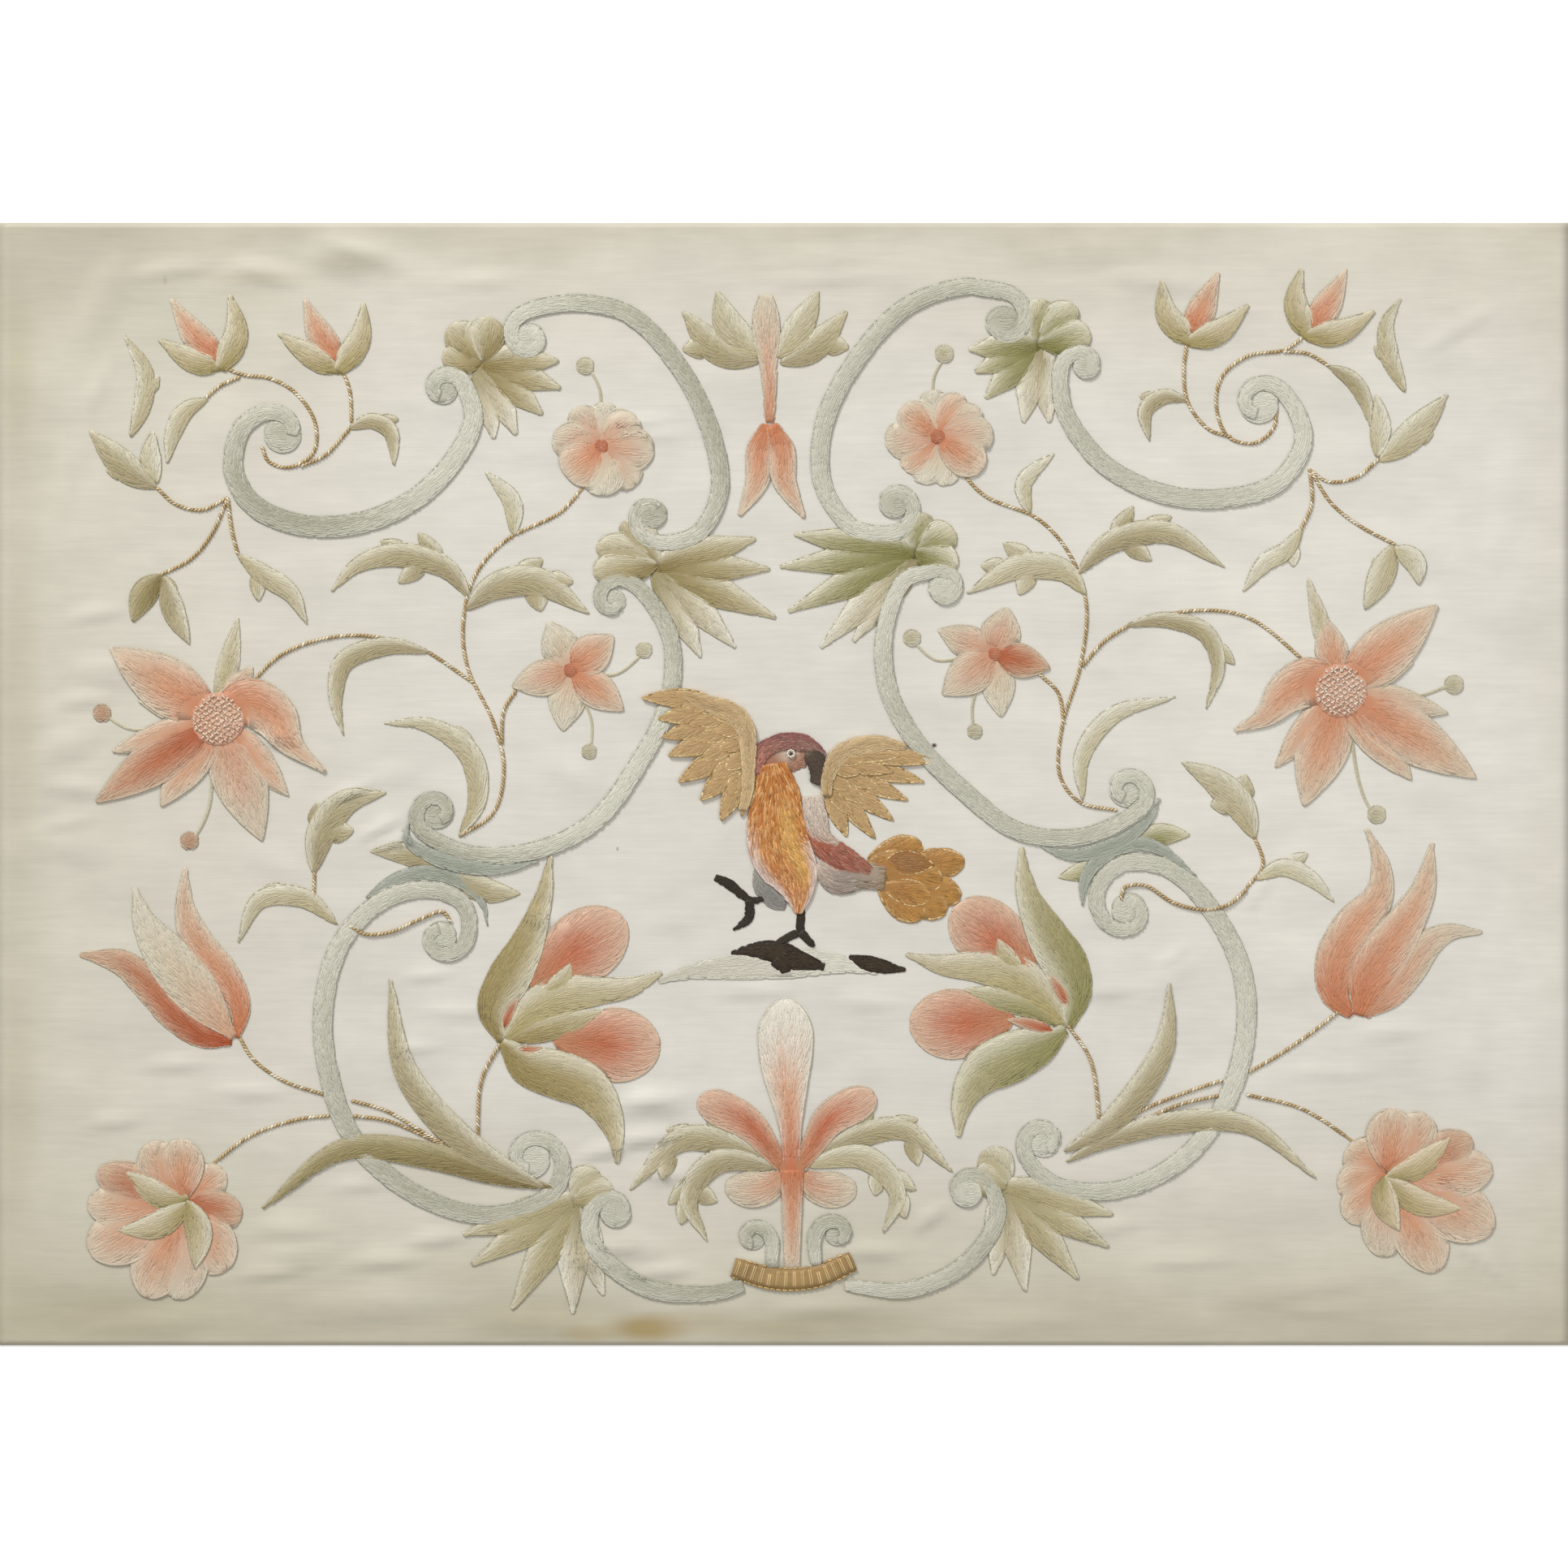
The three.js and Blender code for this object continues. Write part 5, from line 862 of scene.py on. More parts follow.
def stitchOver(patch, index, t0, t1, v0, v1, width, rise, colourOf=None, shake=0.07, metal=0):
    # stitches from (t0, v0) to (t1, v1) on a form. Each is tried at five places: it is kept where the form
    # shows at its middle, and an end that doesn't show is cut back towards the middle.
    probes = np.array([0.04, 0.27, 0.5, 0.73, 0.96])
    t = t0[:, None] + (t1 - t0)[:, None] * probes
    v = v0[:, None] + (v1 - v0)[:, None] * probes
    seen = shownAt(*placeOn(patch, t, v)) == index
    first = np.where(seen[:, 0] & seen[:, 1], 0.0, np.where(seen[:, 1], 0.23, 0.46))
    last = np.where(seen[:, 4] & seen[:, 3], 1.0, np.where(seen[:, 3], 0.77, 0.54))
    keep = seen[:, 2] & (last - first > 0.2)
    share = first[keep, None] + (last - first)[keep, None] * stations
    t = t0[keep, None] + (t1 - t0)[keep, None] * share
    v = v0[keep, None] + (v1 - v0)[keep, None] * share
    x, y = placeOn(patch, t, v)
    long = np.hypot(x[:, 3] - x[:, 0], y[:, 3] - y[:, 0]) > 0.5
    t, v, x, y = t[long], v[long], x[long], y[long]
    lift = liftOf(patch, t, v) + rng.uniform(-0.02, 0.03, (len(t), 1))
    lift -= stitch["sink"]
    count = len(t)
    strayed = np.clip(t + rng.normal(0, stitch["stray"], (count, 1)), 0, 1)
    colour = (colourOf or silkColour)(patch, strayed, v)
    wide = width * rng.uniform(0.85, 1.2, count)
    addThreads(patch["node"], x, y, lift, wide, np.full(count, rise), shaken(colour, shake), metal)


# How a form is filled: how much a stitch's place wanders across and along, as a share of the pitch and of the
# advance; its shortest and longest as shares of its length, and the least length in mm; how near the edge it
# may end. Then, for each kind of form, the length of its stitches, how far they slant outwards towards the
# tip, and how much their shade differs from one to the next.
fill = {
    "across": 0.35, "along": 0.3, "shortest": 0.8, "longest": 1.3, "least": 0.7, "edge": 0.97,
    "length": {"scroll": 5.0, "eye": 3.5, "seed": 3.0, "heart": 1.6, "breast": 4.2, "face": 2.6, "crown": 2.8,
               "back": 3.4, "under": 4.0, "shoulder": 3.4, "thigh": 3.0, "feather": 4.5, "tail": 4.5,
               "mauve": 4.0, "covert": 4.0, "beak": 2.6, "leg": 3.0, "turf": 5.0, "rock": 3.4},
    "slant": {"leaf": 0.3, "husk": 0.1, "feather": 0.5, "tail": 0.3, "scroll": 0.0, "petal": 0.08},
    "otherSlant": 0.05,
    "shake": {"breast": 0.13, "face": 0.12, "crown": 0.16, "back": 0.16, "under": 0.14, "shoulder": 0.1,
              "rock": 0.25, "scroll": 0.035, "covert": 0.09, "feather": 0.09, "tail": 0.14, "mauve": 0.1},
    "otherShake": 0.045,
}


def fillForm(patch, index):
    # long and short stitches along a form, in columns across it, staggered from one column to the next
    kind = patch["kind"]
    length = fill["length"].get(kind, stitch["length"])
    pitch = stitch["pitch"]
    half = patch["half"].max()
    columns = max(2, round(2 * half / pitch))
    advance = length * stitch["advance"]
    rows = max(1, math.ceil(patch["length"] / advance)) + 1
    column, row = (a.ravel() for a in np.meshgrid(np.arange(columns), np.arange(rows)))
    count = len(column)
    v = (column + 0.5 + rng.uniform(-fill["across"], fill["across"], count)) / columns * 2 - 1
    shift = rng.uniform(-fill["along"], fill["along"], count)
    t0 = ((row - 0.5 + 0.5 * (column % 2) + shift) * advance) / patch["length"]
    t1 = t0 + length * rng.uniform(fill["shortest"], fill["longest"], count) / patch["length"]
    t0 = np.clip(t0, 0, 1)
    t1 = np.clip(t1, 0, 1)
    # where the form is narrow its columns run together, so fewer stitches are kept there
    local = np.interp((t0 + t1) / 2, patch["t"], patch["half"]) / half
    keep = (rng.random(count) < local * 1.2 + 0.1) & ((t1 - t0) * patch["length"] > fill["least"])
    t0, t1, v = t0[keep], t1[keep], v[keep]
    slant = fill["slant"].get(kind, fill["otherSlant"])
    v1 = np.clip(v + slant * np.sign(v) * (0.4 + np.abs(v)), -fill["edge"], fill["edge"])
    shake = fill["shake"].get(kind, fill["otherShake"])
    stitchOver(patch, index, t0, t1, v, v1, pitch * stitch["spread"], stitch["rise"], shake=shake)


# Outline threads: a back stitch's length and the way on to the next; for silk and for gilt the width, the
# height and where it lies from the middle of the form, 0, to its edge, 1; the gilt's two shades
edging = {"length": 2.6, "advance": 2.1, "shake": 0.08, "silk": [0.5, 0.4, 0.98], "gilt": [1.0, 0.42, 0.9],
          "giltShades": ["#a27a42", "#e8d3a0"]}


def outlineForm(patch, index):
    # back stitches along both edges of a form, where the form shows just inside them
    isGilt = patch["outline"] == "gilt"
    width, rise, inset = edging["gilt" if isGilt else "silk"]
    shades = edging["giltShades"] if isGilt else [lineSilks[patch["outline"]]] * 2
    dark, light = (linear(shade) for shade in shades)
    count = max(2, int(patch["length"] / edging["advance"]))
    start = (np.arange(count) * edging["advance"]) / patch["length"]
    end = np.clip(start + edging["length"] / patch["length"], 0, 1)

    def lineColour(_, t, v):
        return mix(dark, light, rng.uniform(0, 1, (len(t), 1)) + 0 * t)

    for side in (-1, 1):
        across = side * inset * np.ones(count)
        stitchOver(patch, index, start, end, across, across, width, rise, lineColour, edging["shake"],
                   1 if isGilt else 0)


def twistCord(patch, index):
    # a two-ply gilt cord seen from above: slanting lobes, one after the other along its line
    count = max(2, int(patch["length"] / gilt["pitch"]))
    t = (np.arange(count) + 0.5) / count
    x, y = placeOn(patch, t, 0 * t)
    seen = shownAt(x, y) == index
    t, x, y = t[seen], x[seen], y[seen]
    nx = np.interp(t, patch["t"], patch["nx"])
    ny = np.interp(t, patch["t"], patch["ny"])
    turn = math.radians(gilt["turn"])
    alongX = ny * math.cos(turn) + nx * math.sin(turn)
    alongY = -nx * math.cos(turn) + ny * math.sin(turn)
    reach = gilt["length"] * (stations - 0.5)
    lobeX = x[:, None] + alongX[:, None] * reach
    lobeY = y[:, None] + alongY[:, None] * reach
    lift = np.full(lobeX.shape, stitch["pad"] + stitch["rank"] * patch["rank"])
    # each lobe's tone goes at random from dark gilt to near white: the gilt's own uneven tone, with painted
    # glints on the palest lobes
    tintAndGlint = rng.beta(0.8, 1.1, (len(t), 1))
    colour = mix(mix(linear(giltTonesAndGlints["dark"]), linear(giltTonesAndGlints["middle"]), tintAndGlint * 2),
                 linear(giltTonesAndGlints["light"]), tintAndGlint * 2 - 1)
    colour = colour + 0 * lobeX[..., None]
    addThreads(patch["node"], lobeX, lobeY, lift, gilt["width"] * rng.uniform(0.85, 1.1, len(t)),
               gilt["rise"] * rng.uniform(0.85, 1.1, len(t)), colour, 1)


# The trellis of a star flower: its ground, the slants of its two families of bars in degrees, the step from
# bar to bar and how many steps each way, and how far out bars still lie; a bar's length, width, height, lift
trellis = {"radius": 13, "silk": ["#d6a082", "#deb59b", "#deb59b", "#d6a082"], "angles": [38, -42],
           "step": 2.5, "steps": 6, "reach": 12.4, "bar": 2.3, "width": 1.05, "rise": 0.6, "lift": 0.25,
           "stray": 0.15, "left": "#ecd9c0", "right": "#efe6d6", "dark": "#d9b294"}


def latticeOver(patch):
    # two slanting families of short cream bars over the coral ground, every other row half a step along
    centreX = patch["x"].mean()
    centreY = patch["y"].mean()
    step = trellis["step"]
    places = np.arange(-trellis["steps"], trellis["steps"] + 1)
    for angle in trellis["angles"]:
        along = np.array([math.cos(math.radians(angle)), math.sin(math.radians(angle))])
        across = np.array([-along[1], along[0]])
        i, j = (a.ravel() for a in np.meshgrid(places, places))
        x = centreX + along[0] * (i + 0.5 * (j % 2)) * step + across[0] * j * step
        y = centreY + along[1] * (i + 0.5 * (j % 2)) * step + across[1] * j * step
        inside = np.hypot(x - centreX, y - centreY) < trellis["reach"]
        x = x[inside] + rng.normal(0, trellis["stray"], inside.sum())
        y = y[inside] + rng.normal(0, trellis["stray"], inside.sum())
        reach = trellis["bar"] * (stations - 0.5)
        under = stitch["pad"] + stitch["rank"] * patch["rank"] + stitch["dome"]
        lift = np.full((len(x), 4), under + trellis["lift"])
        cream = linear(trellis[patch["node"].split("_")[-1]])
        shade = rng.uniform(0, 0.8, (len(x), 1))
        colour = mix(cream, linear(trellis["dark"]), shade) + np.zeros((len(x), 4, 1))
        addThreads(patch["node"], x[:, None] + along[0] * reach, y[:, None] + along[1] * reach, lift,
                   np.full(len(x), trellis["width"]), np.full(len(x), trellis["rise"]), colour)


# The coronet: the silks of its band, then its ribs, which are pairs of gold threads across it, and its edges
ribs = {"silk": ["#ab8e62", "#ac8c5a", "#a08255", "#917347"], "count": 15, "apart": 0.008, "slant": 0.004,
        "reach": 0.95, "width": 0.9, "gold": "#dcc28c", "rise": 0.5, "shake": 0.12,
        "edge": 0.98, "edgeStep": 0.045, "edgeLength": 0.05, "edgeWidth": 1.0, "edgeGold": "#cfb074"}


def ribsOver(patch, index):
    # gold threads across the band and along its two edges; t goes along the band and side across it
    count = ribs["count"]
    t = (np.arange(count) + 0.5) / count
    across = np.full(count, ribs["reach"])
    for shift in (-ribs["apart"], ribs["apart"]):
        stitchOver(patch, index, t + shift, t + shift + ribs["slant"], -across, across, ribs["width"],
                   ribs["rise"], lambda p, a, b: linear(ribs["gold"]) + np.zeros((*a.shape, 3)),
                   ribs["shake"], 1)
    start = np.arange(0, 1, ribs["edgeStep"])
    end = np.clip(start + ribs["edgeLength"], 0, 1)
    for side in (-ribs["edge"], ribs["edge"]):
        stitchOver(patch, index, start, end, side + 0 * start, side + 0 * start, ribs["edgeWidth"],
                   ribs["rise"], lambda p, a, b: linear(ribs["edgeGold"]) + np.zeros((*a.shape, 3)),
                   ribs["shake"], 1)


# Satin stitches of stalks and of the coronet's band
crossing = {"pitch": 0.62, "slant": 0.3, "reach": 0.94, "width": 0.9}


def crossFill(patch, index):
    # satin stitches straight across a form, each ending a slant's way further along than it starts
    count = max(2, int(patch["length"] / crossing["pitch"]))
    t = (np.arange(count) + 0.5) / count
    across = np.full(count, crossing["reach"])
    stitchOver(patch, index, t, t + crossing["slant"] / patch["length"], -across, across, crossing["width"],
               stitch["rise"])


# The bird's eye: its place, lift, thread and, ring by ring, the radius, the silk and the number of stitches
birdEye = {"x": 3.4, "y": 15, "lift": 1.75, "width": 1.1, "rise": 0.4, "overlap": 1.3,
           "rings": [[1.7, "#e8e0d0", 8], [0.45, "#2c2018", 3]]}


def eyeOfBird():
    # a cream ring about a dark pupil, each of stitches that overlap round a circle
    for radius, silk, count in birdEye["rings"]:
        angle = np.arange(count) / count * 2 * np.pi
        a = angle[:, None] + (stations - 0.5) * 2 * np.pi / count * birdEye["overlap"]
        x = birdEye["x"] + radius * np.cos(a)
        y = birdEye["y"] + radius * np.sin(a)
        addThreads("bird", x, y, np.full(x.shape, birdEye["lift"]), np.full(count, birdEye["width"]),
                   np.full(count, birdEye["rise"]), linear(silk) + np.zeros((*x.shape, 3)))


def threadMesh(rows):
    # each thread is a closed sliver: a tip, two three-sided rings and another tip
    x = np.concatenate([r["x"] for r in rows])
    y = np.concatenate([r["y"] for r in rows])
    lift = np.concatenate([r["lift"] for r in rows])
    width = np.concatenate([r["width"] for r in rows])[:, None]
    rise = np.concatenate([r["rise"] for r in rows])[:, None]
    colour = np.concatenate([r["colour"] for r in rows])
    z = swell(x, y) + cloth["thickness"] + lift
    wayX = x[:, [3]] - x[:, [0]]
    wayY = y[:, [3]] - y[:, [0]]
    size = np.hypot(wayX, wayY) + 1e-9
    sideX = -wayY / size * width / 2
    sideY = wayX / size * width / 2
    count = len(x)
    points = np.zeros((count, 8, 3))
    points[:, 0] = np.stack([x[:, 0], y[:, 0], z[:, 0]], -1)
    points[:, 7] = np.stack([x[:, 3], y[:, 3], z[:, 3]], -1)
    for ring, station in ((1, 1), (4, 2)):
        for k, (across, up) in enumerate(((1, 0), (0, 1), (-1, 0))):
            points[:, ring + k, 0] = x[:, station] + across * sideX[:, 0]
            points[:, ring + k, 1] = y[:, station] + across * sideY[:, 0]
            points[:, ring + k, 2] = z[:, station] + up * rise[:, 0]
    shell = np.array([[0, 1, 2], [0, 2, 3], [0, 3, 1], [1, 4, 5], [1, 5, 2], [2, 5, 6], [2, 6, 3], [3, 6, 4],
                      [3, 4, 1], [7, 5, 4], [7, 6, 5], [7, 4, 6]])
    faces = (shell[None] + 8 * np.arange(count)[:, None, None]).reshape(-1, 3)
    station = np.array([0, 1, 1, 1, 2, 2, 2, 3])
    metal = np.repeat(np.concatenate([r["metal"] for r in rows]), len(shell))
    # the underside keeps its own flat shading, so that it doesn't darken the sides
    under = np.tile(np.isin(np.arange(len(shell)), [2, 7, 8, 11]), count)
    return points.reshape(-1, 3), faces, colour[:, station].reshape(-1, 3), metal, under


# A form's bed: the length of its steps, the fewest and most of them, its shade, and the corners of its
# # section: how far across the form, and 1 for the top or 0 for the silk. The shade makes the bed a little
# # darker than its silk: painted shade where it shows between the stitches.
bed = {"step": 2.5, "fewest": 10, "most": 90, "shade": 0.97,
       "section": [(0.96, 1), (0.5, 1), (0.0, 1), (-0.5, 1), (-0.96, 1), (-0.96, 0), (0.96, 0)]}


def padMesh(patch):
    # the bed under a form's stitches: a thin closed strip of its outline, domed like the stitches over it
    steps = int(np.clip(patch["length"] / bed["step"], bed["fewest"], bed["most"]))
    t = np.linspace(0, 1, steps + 1)
    across = bed["section"]
    points = []
    colours = []
    for v, level in across:
        x, y = placeOn(patch, t, v + 0 * t)
        lift = liftOf(patch, t, v + 0 * t) * level
        points.append(np.stack([x, y, swell(x, y) + cloth["thickness"] + lift], -1))
        if patch["kind"] == "cord":
            colours.append(np.tile(linear(giltTonesAndGlints["bed"]), (steps + 1, 1)))
        else:
            # painted shade: the bed is a little darker than the stitches over it
            colours.append(silkColour(patch, t, v + 0 * t) * bed["shade"])
    points = np.stack(points, 1)
    colours = np.stack(colours, 1)
    ringSize = len(across)
    ring = np.arange(steps)[:, None] * ringSize
    faces = []
    for k in range(ringSize):
        n = (k + 1) % ringSize
        faces.append(np.concatenate([ring + k, ring + n, ring + ringSize + n], 1))
        faces.append(np.concatenate([ring + k, ring + ringSize + n, ring + ringSize + k], 1))
    last = steps * ringSize
    fan = np.array([[0, k + 1, k] for k in range(1, ringSize - 1)])
    faces += [fan, last + fan[:, ::-1]]
    faces = np.concatenate(faces)
    flat = np.zeros(len(faces), bool)
    return points.reshape(-1, 3), faces, colours.reshape(-1, 3), np.zeros(len(faces), int), flat


def makeMesh(name, points, faces, colours, materials, metal=None, flat=None):
    # puts whole arrays into a mesh, in metres, with a colour for each point and a flat map seen from above
    mesh = bpy.data.meshes.new(name)
    mesh.vertices.add(len(points))
    mesh.vertices.foreach_set("co", (points * metre).astype(np.float32).ravel())
    mesh.loops.add(faces.size)
    mesh.loops.foreach_set("vertex_index", faces.astype(np.int32).ravel())
    mesh.polygons.add(len(faces))
    mesh.polygons.foreach_set("loop_start", np.arange(0, faces.size, 3, dtype=np.int32))
    for material in materials:
        mesh.materials.append(material)
    if metal is not None:
        mesh.polygons.foreach_set("material_index", metal.astype(np.int32))
    mesh.update(calc_edges=True)
    mesh.polygons.foreach_set("use_smooth", np.ones(len(faces), bool) if flat is None else ~flat)
    if colours is not None:
        layer = mesh.color_attributes.new("silk", "FLOAT_COLOR", "POINT")
        rgbaRows = np.column_stack([colours, np.ones(len(colours))])
        layer.data.foreach_set("color", rgbaRows.astype(np.float32).ravel())
    plan = mesh.uv_layers.new(name="OFBake")
    corner = points[faces.ravel()]
    uv = np.column_stack([corner[:, 0] / panelWidth + 0.5, corner[:, 1] / panelHeight + 0.5])
    plan.data.foreach_set("uv", uv.astype(np.float32).ravel())
    piece = bpy.data.objects.new(name, mesh)
    bpy.context.scene.collection.objects.link(piece)
    return piece


def addNode(material, kind, settings=None, **inputs):
    # one node with its settings; an input is a value, or a socket to link from, and goes by its place, as in
    # i0, or by its name
    node = material.node_tree.nodes.new(kind)
    for key, value in (settings or {}).items():
        setattr(node, key, value)
    for key, value in inputs.items():
        socket = node.inputs[int(key[1:]) if key[1:].isdigit() else key]
        if isinstance(value, bpy.types.NodeSocket):
            material.node_tree.links.new(value, socket)
        else:
            socket.default_value = value
    return node


def newMaterial(name):
    # a material and its shader
    material = bpy.data.materials.new(name)
    material.use_nodes = True
    return material, material.node_tree.nodes["Principled BSDF"]


def rgba(text):
    # a hex colour as a socket takes it
    return (*linear(text), 1.0)


def makeFloss():
    # silk floss: loosely twisted dyed filament silk, so it takes a soft broad sheen along each stitch
    look = {"roughness": 0.5, "specular": 0.35, "sheen": 0.15, "sheenRoughness": 0.4, "wearScale": 140.0,
            "wearDark": 0.93, "wearLight": 1.07}
    material, shader = newMaterial("silkFloss")
    place = addNode(material, "ShaderNodeTexCoord")
    colour = addNode(material, "ShaderNodeAttribute", {"attribute_name": "silk"})
    wear = addNode(material, "ShaderNodeTexNoise", Vector=place.outputs["Object"], Scale=look["wearScale"],
                   Detail=3.0)
    shade = addNode(material, "ShaderNodeMapRange", Value=wear.outputs["Fac"], i3=look["wearDark"],
                    i4=look["wearLight"])
    tinted = addNode(material, "ShaderNodeMix", {"data_type": "RGBA", "blend_type": "MULTIPLY"}, i0=1.0,
                     i6=colour.outputs["Color"], i7=shade.outputs["Result"])
    material.node_tree.links.new(tinted.outputs[2], shader.inputs["Base Color"])
    shader.inputs["Roughness"].default_value = look["roughness"]
    shader.inputs["Specular IOR Level"].default_value = look["specular"]
    shader.inputs["Sheen Weight"].default_value = look["sheen"]
    shader.inputs["Sheen Roughness"].default_value = look["sheenRoughness"]
    return material


def makeGilt():
    # gilt thread: a strip of gilded silver wound on a silk core, worn dull, with bright glints; the core
    # shows between the windings, so it is less than all metal
    look = {"metallic": 0.35, "smooth": 0.3, "rough": 0.6, "wearScale": 420.0}
    material, shader = newMaterial("giltThread")
    place = addNode(material, "ShaderNodeTexCoord")
    colour = addNode(material, "ShaderNodeAttribute", {"attribute_name": "silk"})
    wear = addNode(material, "ShaderNodeTexNoise", Vector=place.outputs["Object"], Scale=look["wearScale"],
                   Detail=2.0)
    rough = addNode(material, "ShaderNodeMapRange", Value=wear.outputs["Fac"], i3=look["smooth"],
                    i4=look["rough"])
    material.node_tree.links.new(colour.outputs["Color"], shader.inputs["Base Color"])
    material.node_tree.links.new(rough.outputs["Result"], shader.inputs["Roughness"])
    shader.inputs["Metallic"].default_value = look["metallic"]
    return material


# Marks on the silk: x, y, reach across, reach up, colour, strength. Most are stains and yellowing; the broad
# pale
# # mark at 250, 40 is a painted pool of light, and the mark at -215, 257 is partly a stain and partly painted
# shade in a fold.
stainsAndPaintedLight = [
    [-68, -268, 26, 9, "#a08540", 0.75], [-98, -271, 20, 6, "#b09c6c", 0.5],
    [-42, -265, 30, 9, "#b3a485", 0.45], [-8, -270, 34, 8, "#aca182", 0.4],
    [44, -258, 40, 12, "#c4bba4", 0.4], [-150, -240, 60, 16, "#c2baa2", 0.35],
    # the mark at -215, 257 below is partly a stain and partly painted shade in the fold of the pucker there
    [-215, 257, 26, 10, "#aaa58e", 0.55], [-262, 250, 40, 6, "#bdb69d", 0.5],
    [-330, -262, 70, 22, "#a99d7c", 0.35], [-120, -262, 60, 16, "#a99d7c", 0.4],
    # the broad pale mark at 250, 40 below is a painted pool of light over the right of the middle
    [20, -266, 70, 12, "#ab9f7f", 0.4], [250, 40, 230, 260, "#eae6da", 0.3],
    [310, 262, 130, 34, "#ded8c8", 0.5], [-378, 200, 14, 70, "#bbb295", 0.45],
    [-378, 40, 16, 110, "#bdb498", 0.35], [-378, -150, 14, 90, "#bdb498", 0.35],
    [-360, 256, 84, 56, "#b1ac98", 0.5], [-300, 270, 150, 24, "#b9b3a0", 0.3],
    [-160, -190, 60, 30, "#cbc4ae", 0.35], [60, -215, 90, 30, "#c9c2ae", 0.4],
    [74, 19, 1.9, 1.6, "#4a2c28", 1.0], [-173, -202, 2.4, 1.6, "#8a5a34", 0.8],
    [-305, 248, 1.6, 3.2, "#a9a288", 0.5], [-82, -32, 0.9, 1.4, "#8f8878", 0.7],
]


def makeSatin():
    # silk satin: weft-faced filament silk, ivory, gone yellow at the edges, with a low soft sheen; its broad
    #     # darkening towards the left is partly yellowing and partly painted shade
    look = {"centre": "#dcd7cc", "side": "#c3bca2", "rim": "#b3ab92", "weftPitch": 0.9, "weftBump": 0.17,
            "roughness": 0.48, "specular": 0.4, "sheen": 0.1}
    material, shader = newMaterial("silkSatin")
    links = material.node_tree.links
    place = addNode(material, "ShaderNodeTexCoord").outputs["Object"]
    axes = addNode(material, "ShaderNodeSeparateXYZ", Vector=place)
    wander = addNode(material, "ShaderNodeTexNoise", Vector=place, Scale=9.0, Detail=4.0)
    wanderShift = addNode(material, "ShaderNodeMapRange", Value=wander.outputs["Fac"], i3=-0.04, i4=0.04)
    colour = rgba(look["centre"])
    halfWidth = panelWidth / 2 * metre
    halfHeight = panelHeight / 2 * metre
    # axis, side, half the panel, reach from the edge, colour, strength at the edge; the first row, a broad
    #     # band towards the left, is partly yellowing and partly painted shade
    yellowingAndShade = [
        ["X", -1, halfWidth, 0.26, look["side"], 0.42],
        ["X", -1, halfWidth, 0.035, look["rim"], 0.3],
        ["X", 1, halfWidth, 0.03, look["side"], 0.2],
        ["Y", -1, halfHeight, 0.15, look["side"], 0.62],
        ["Y", -1, halfHeight, 0.05, look["rim"], 0.48],
        ["Y", 1, halfHeight, 0.11, look["side"], 0.42],
        ["Y", 1, halfHeight, 0.02, look["rim"], 0.3],
    ]
    for axis, side, half, reach, tone, strength in yellowingAndShade:
        value = addNode(material, "ShaderNodeMath", {"operation": "MULTIPLY_ADD"}, i0=axes.outputs[axis],
                        i1=float(side), i2=wanderShift.outputs["Result"])
        near = addNode(material, "ShaderNodeMapRange", {"interpolation_type": "SMOOTHSTEP"},
                       Value=value.outputs[0], i1=half - reach, i2=half, i3=0.0, i4=strength)
        colour = addNode(material, "ShaderNodeMix", {"data_type": "RGBA"}, i0=near.outputs["Result"],
                         i6=colour, i7=rgba(tone)).outputs[2]
    # stains, a painted pool of light and painted shade in a fold, each mixed into the satin's colour
    for x, y, reachX, reachY, tone, strength in stainsAndPaintedLight:
        shifted = addNode(material, "ShaderNodeMapping", {"vector_type": "POINT"}, Vector=place,
                          Location=(-x / reachX, -y / reachY, 0),
                          Scale=(1 / (reachX * metre), 1 / (reachY * metre), 0))
        far = addNode(material, "ShaderNodeVectorMath", {"operation": "LENGTH"}, i0=shifted.outputs["Vector"])
        ragged = addNode(material, "ShaderNodeMath", {"operation": "MULTIPLY_ADD"}, i0=wander.outputs["Fac"],
                         i1=0.8, i2=far.outputs["Value"])
        spot = addNode(material, "ShaderNodeMapRange", {"interpolation_type": "SMOOTHSTEP"},
                       Value=ragged.outputs[0], i1=1.4, i2=0.5, i3=0.0, i4=strength)
        colour = addNode(material, "ShaderNodeMix", {"data_type": "RGBA"}, i0=spot.outputs["Result"],
                         i6=colour, i7=rgba(tone)).outputs[2]
    # slubs are long thin streaks of the weft; clouds are wide soft stains, longer than they are high
    shades = []
    for stretchX, stretchY, scale, detail, low, high in ((14.0, 150.0, 3.0, 6.0, 0.97, 1.03),
                                                         (6.0, 18.0, 2.5, 6.0, 0.94, 1.045),
                                                         (60.0, 60.0, 1.0, 5.0, 0.975, 1.02)):
        stretched = addNode(material, "ShaderNodeMapping", Vector=place, Scale=(stretchX, stretchY, 1.0))
        cloud = addNode(material, "ShaderNodeTexNoise", Vector=stretched.outputs["Vector"], Scale=scale,
                        Detail=detail)
        shades.append(addNode(material, "ShaderNodeMapRange", Value=cloud.outputs["Fac"], i1=0.3, i2=0.7,
                              i3=low, i4=high).outputs["Result"])
    slubs = addNode(material, "ShaderNodeMath", {"operation": "MULTIPLY"}, i0=shades[0], i1=shades[1])
    both = addNode(material, "ShaderNodeMath", {"operation": "MULTIPLY"}, i0=slubs.outputs[0], i1=shades[2])
    final = addNode(material, "ShaderNodeMix", {"data_type": "RGBA", "blend_type": "MULTIPLY"}, i0=1.0,
                    i6=colour, i7=both.outputs[0])
    links.new(final.outputs[2], shader.inputs["Base Color"])
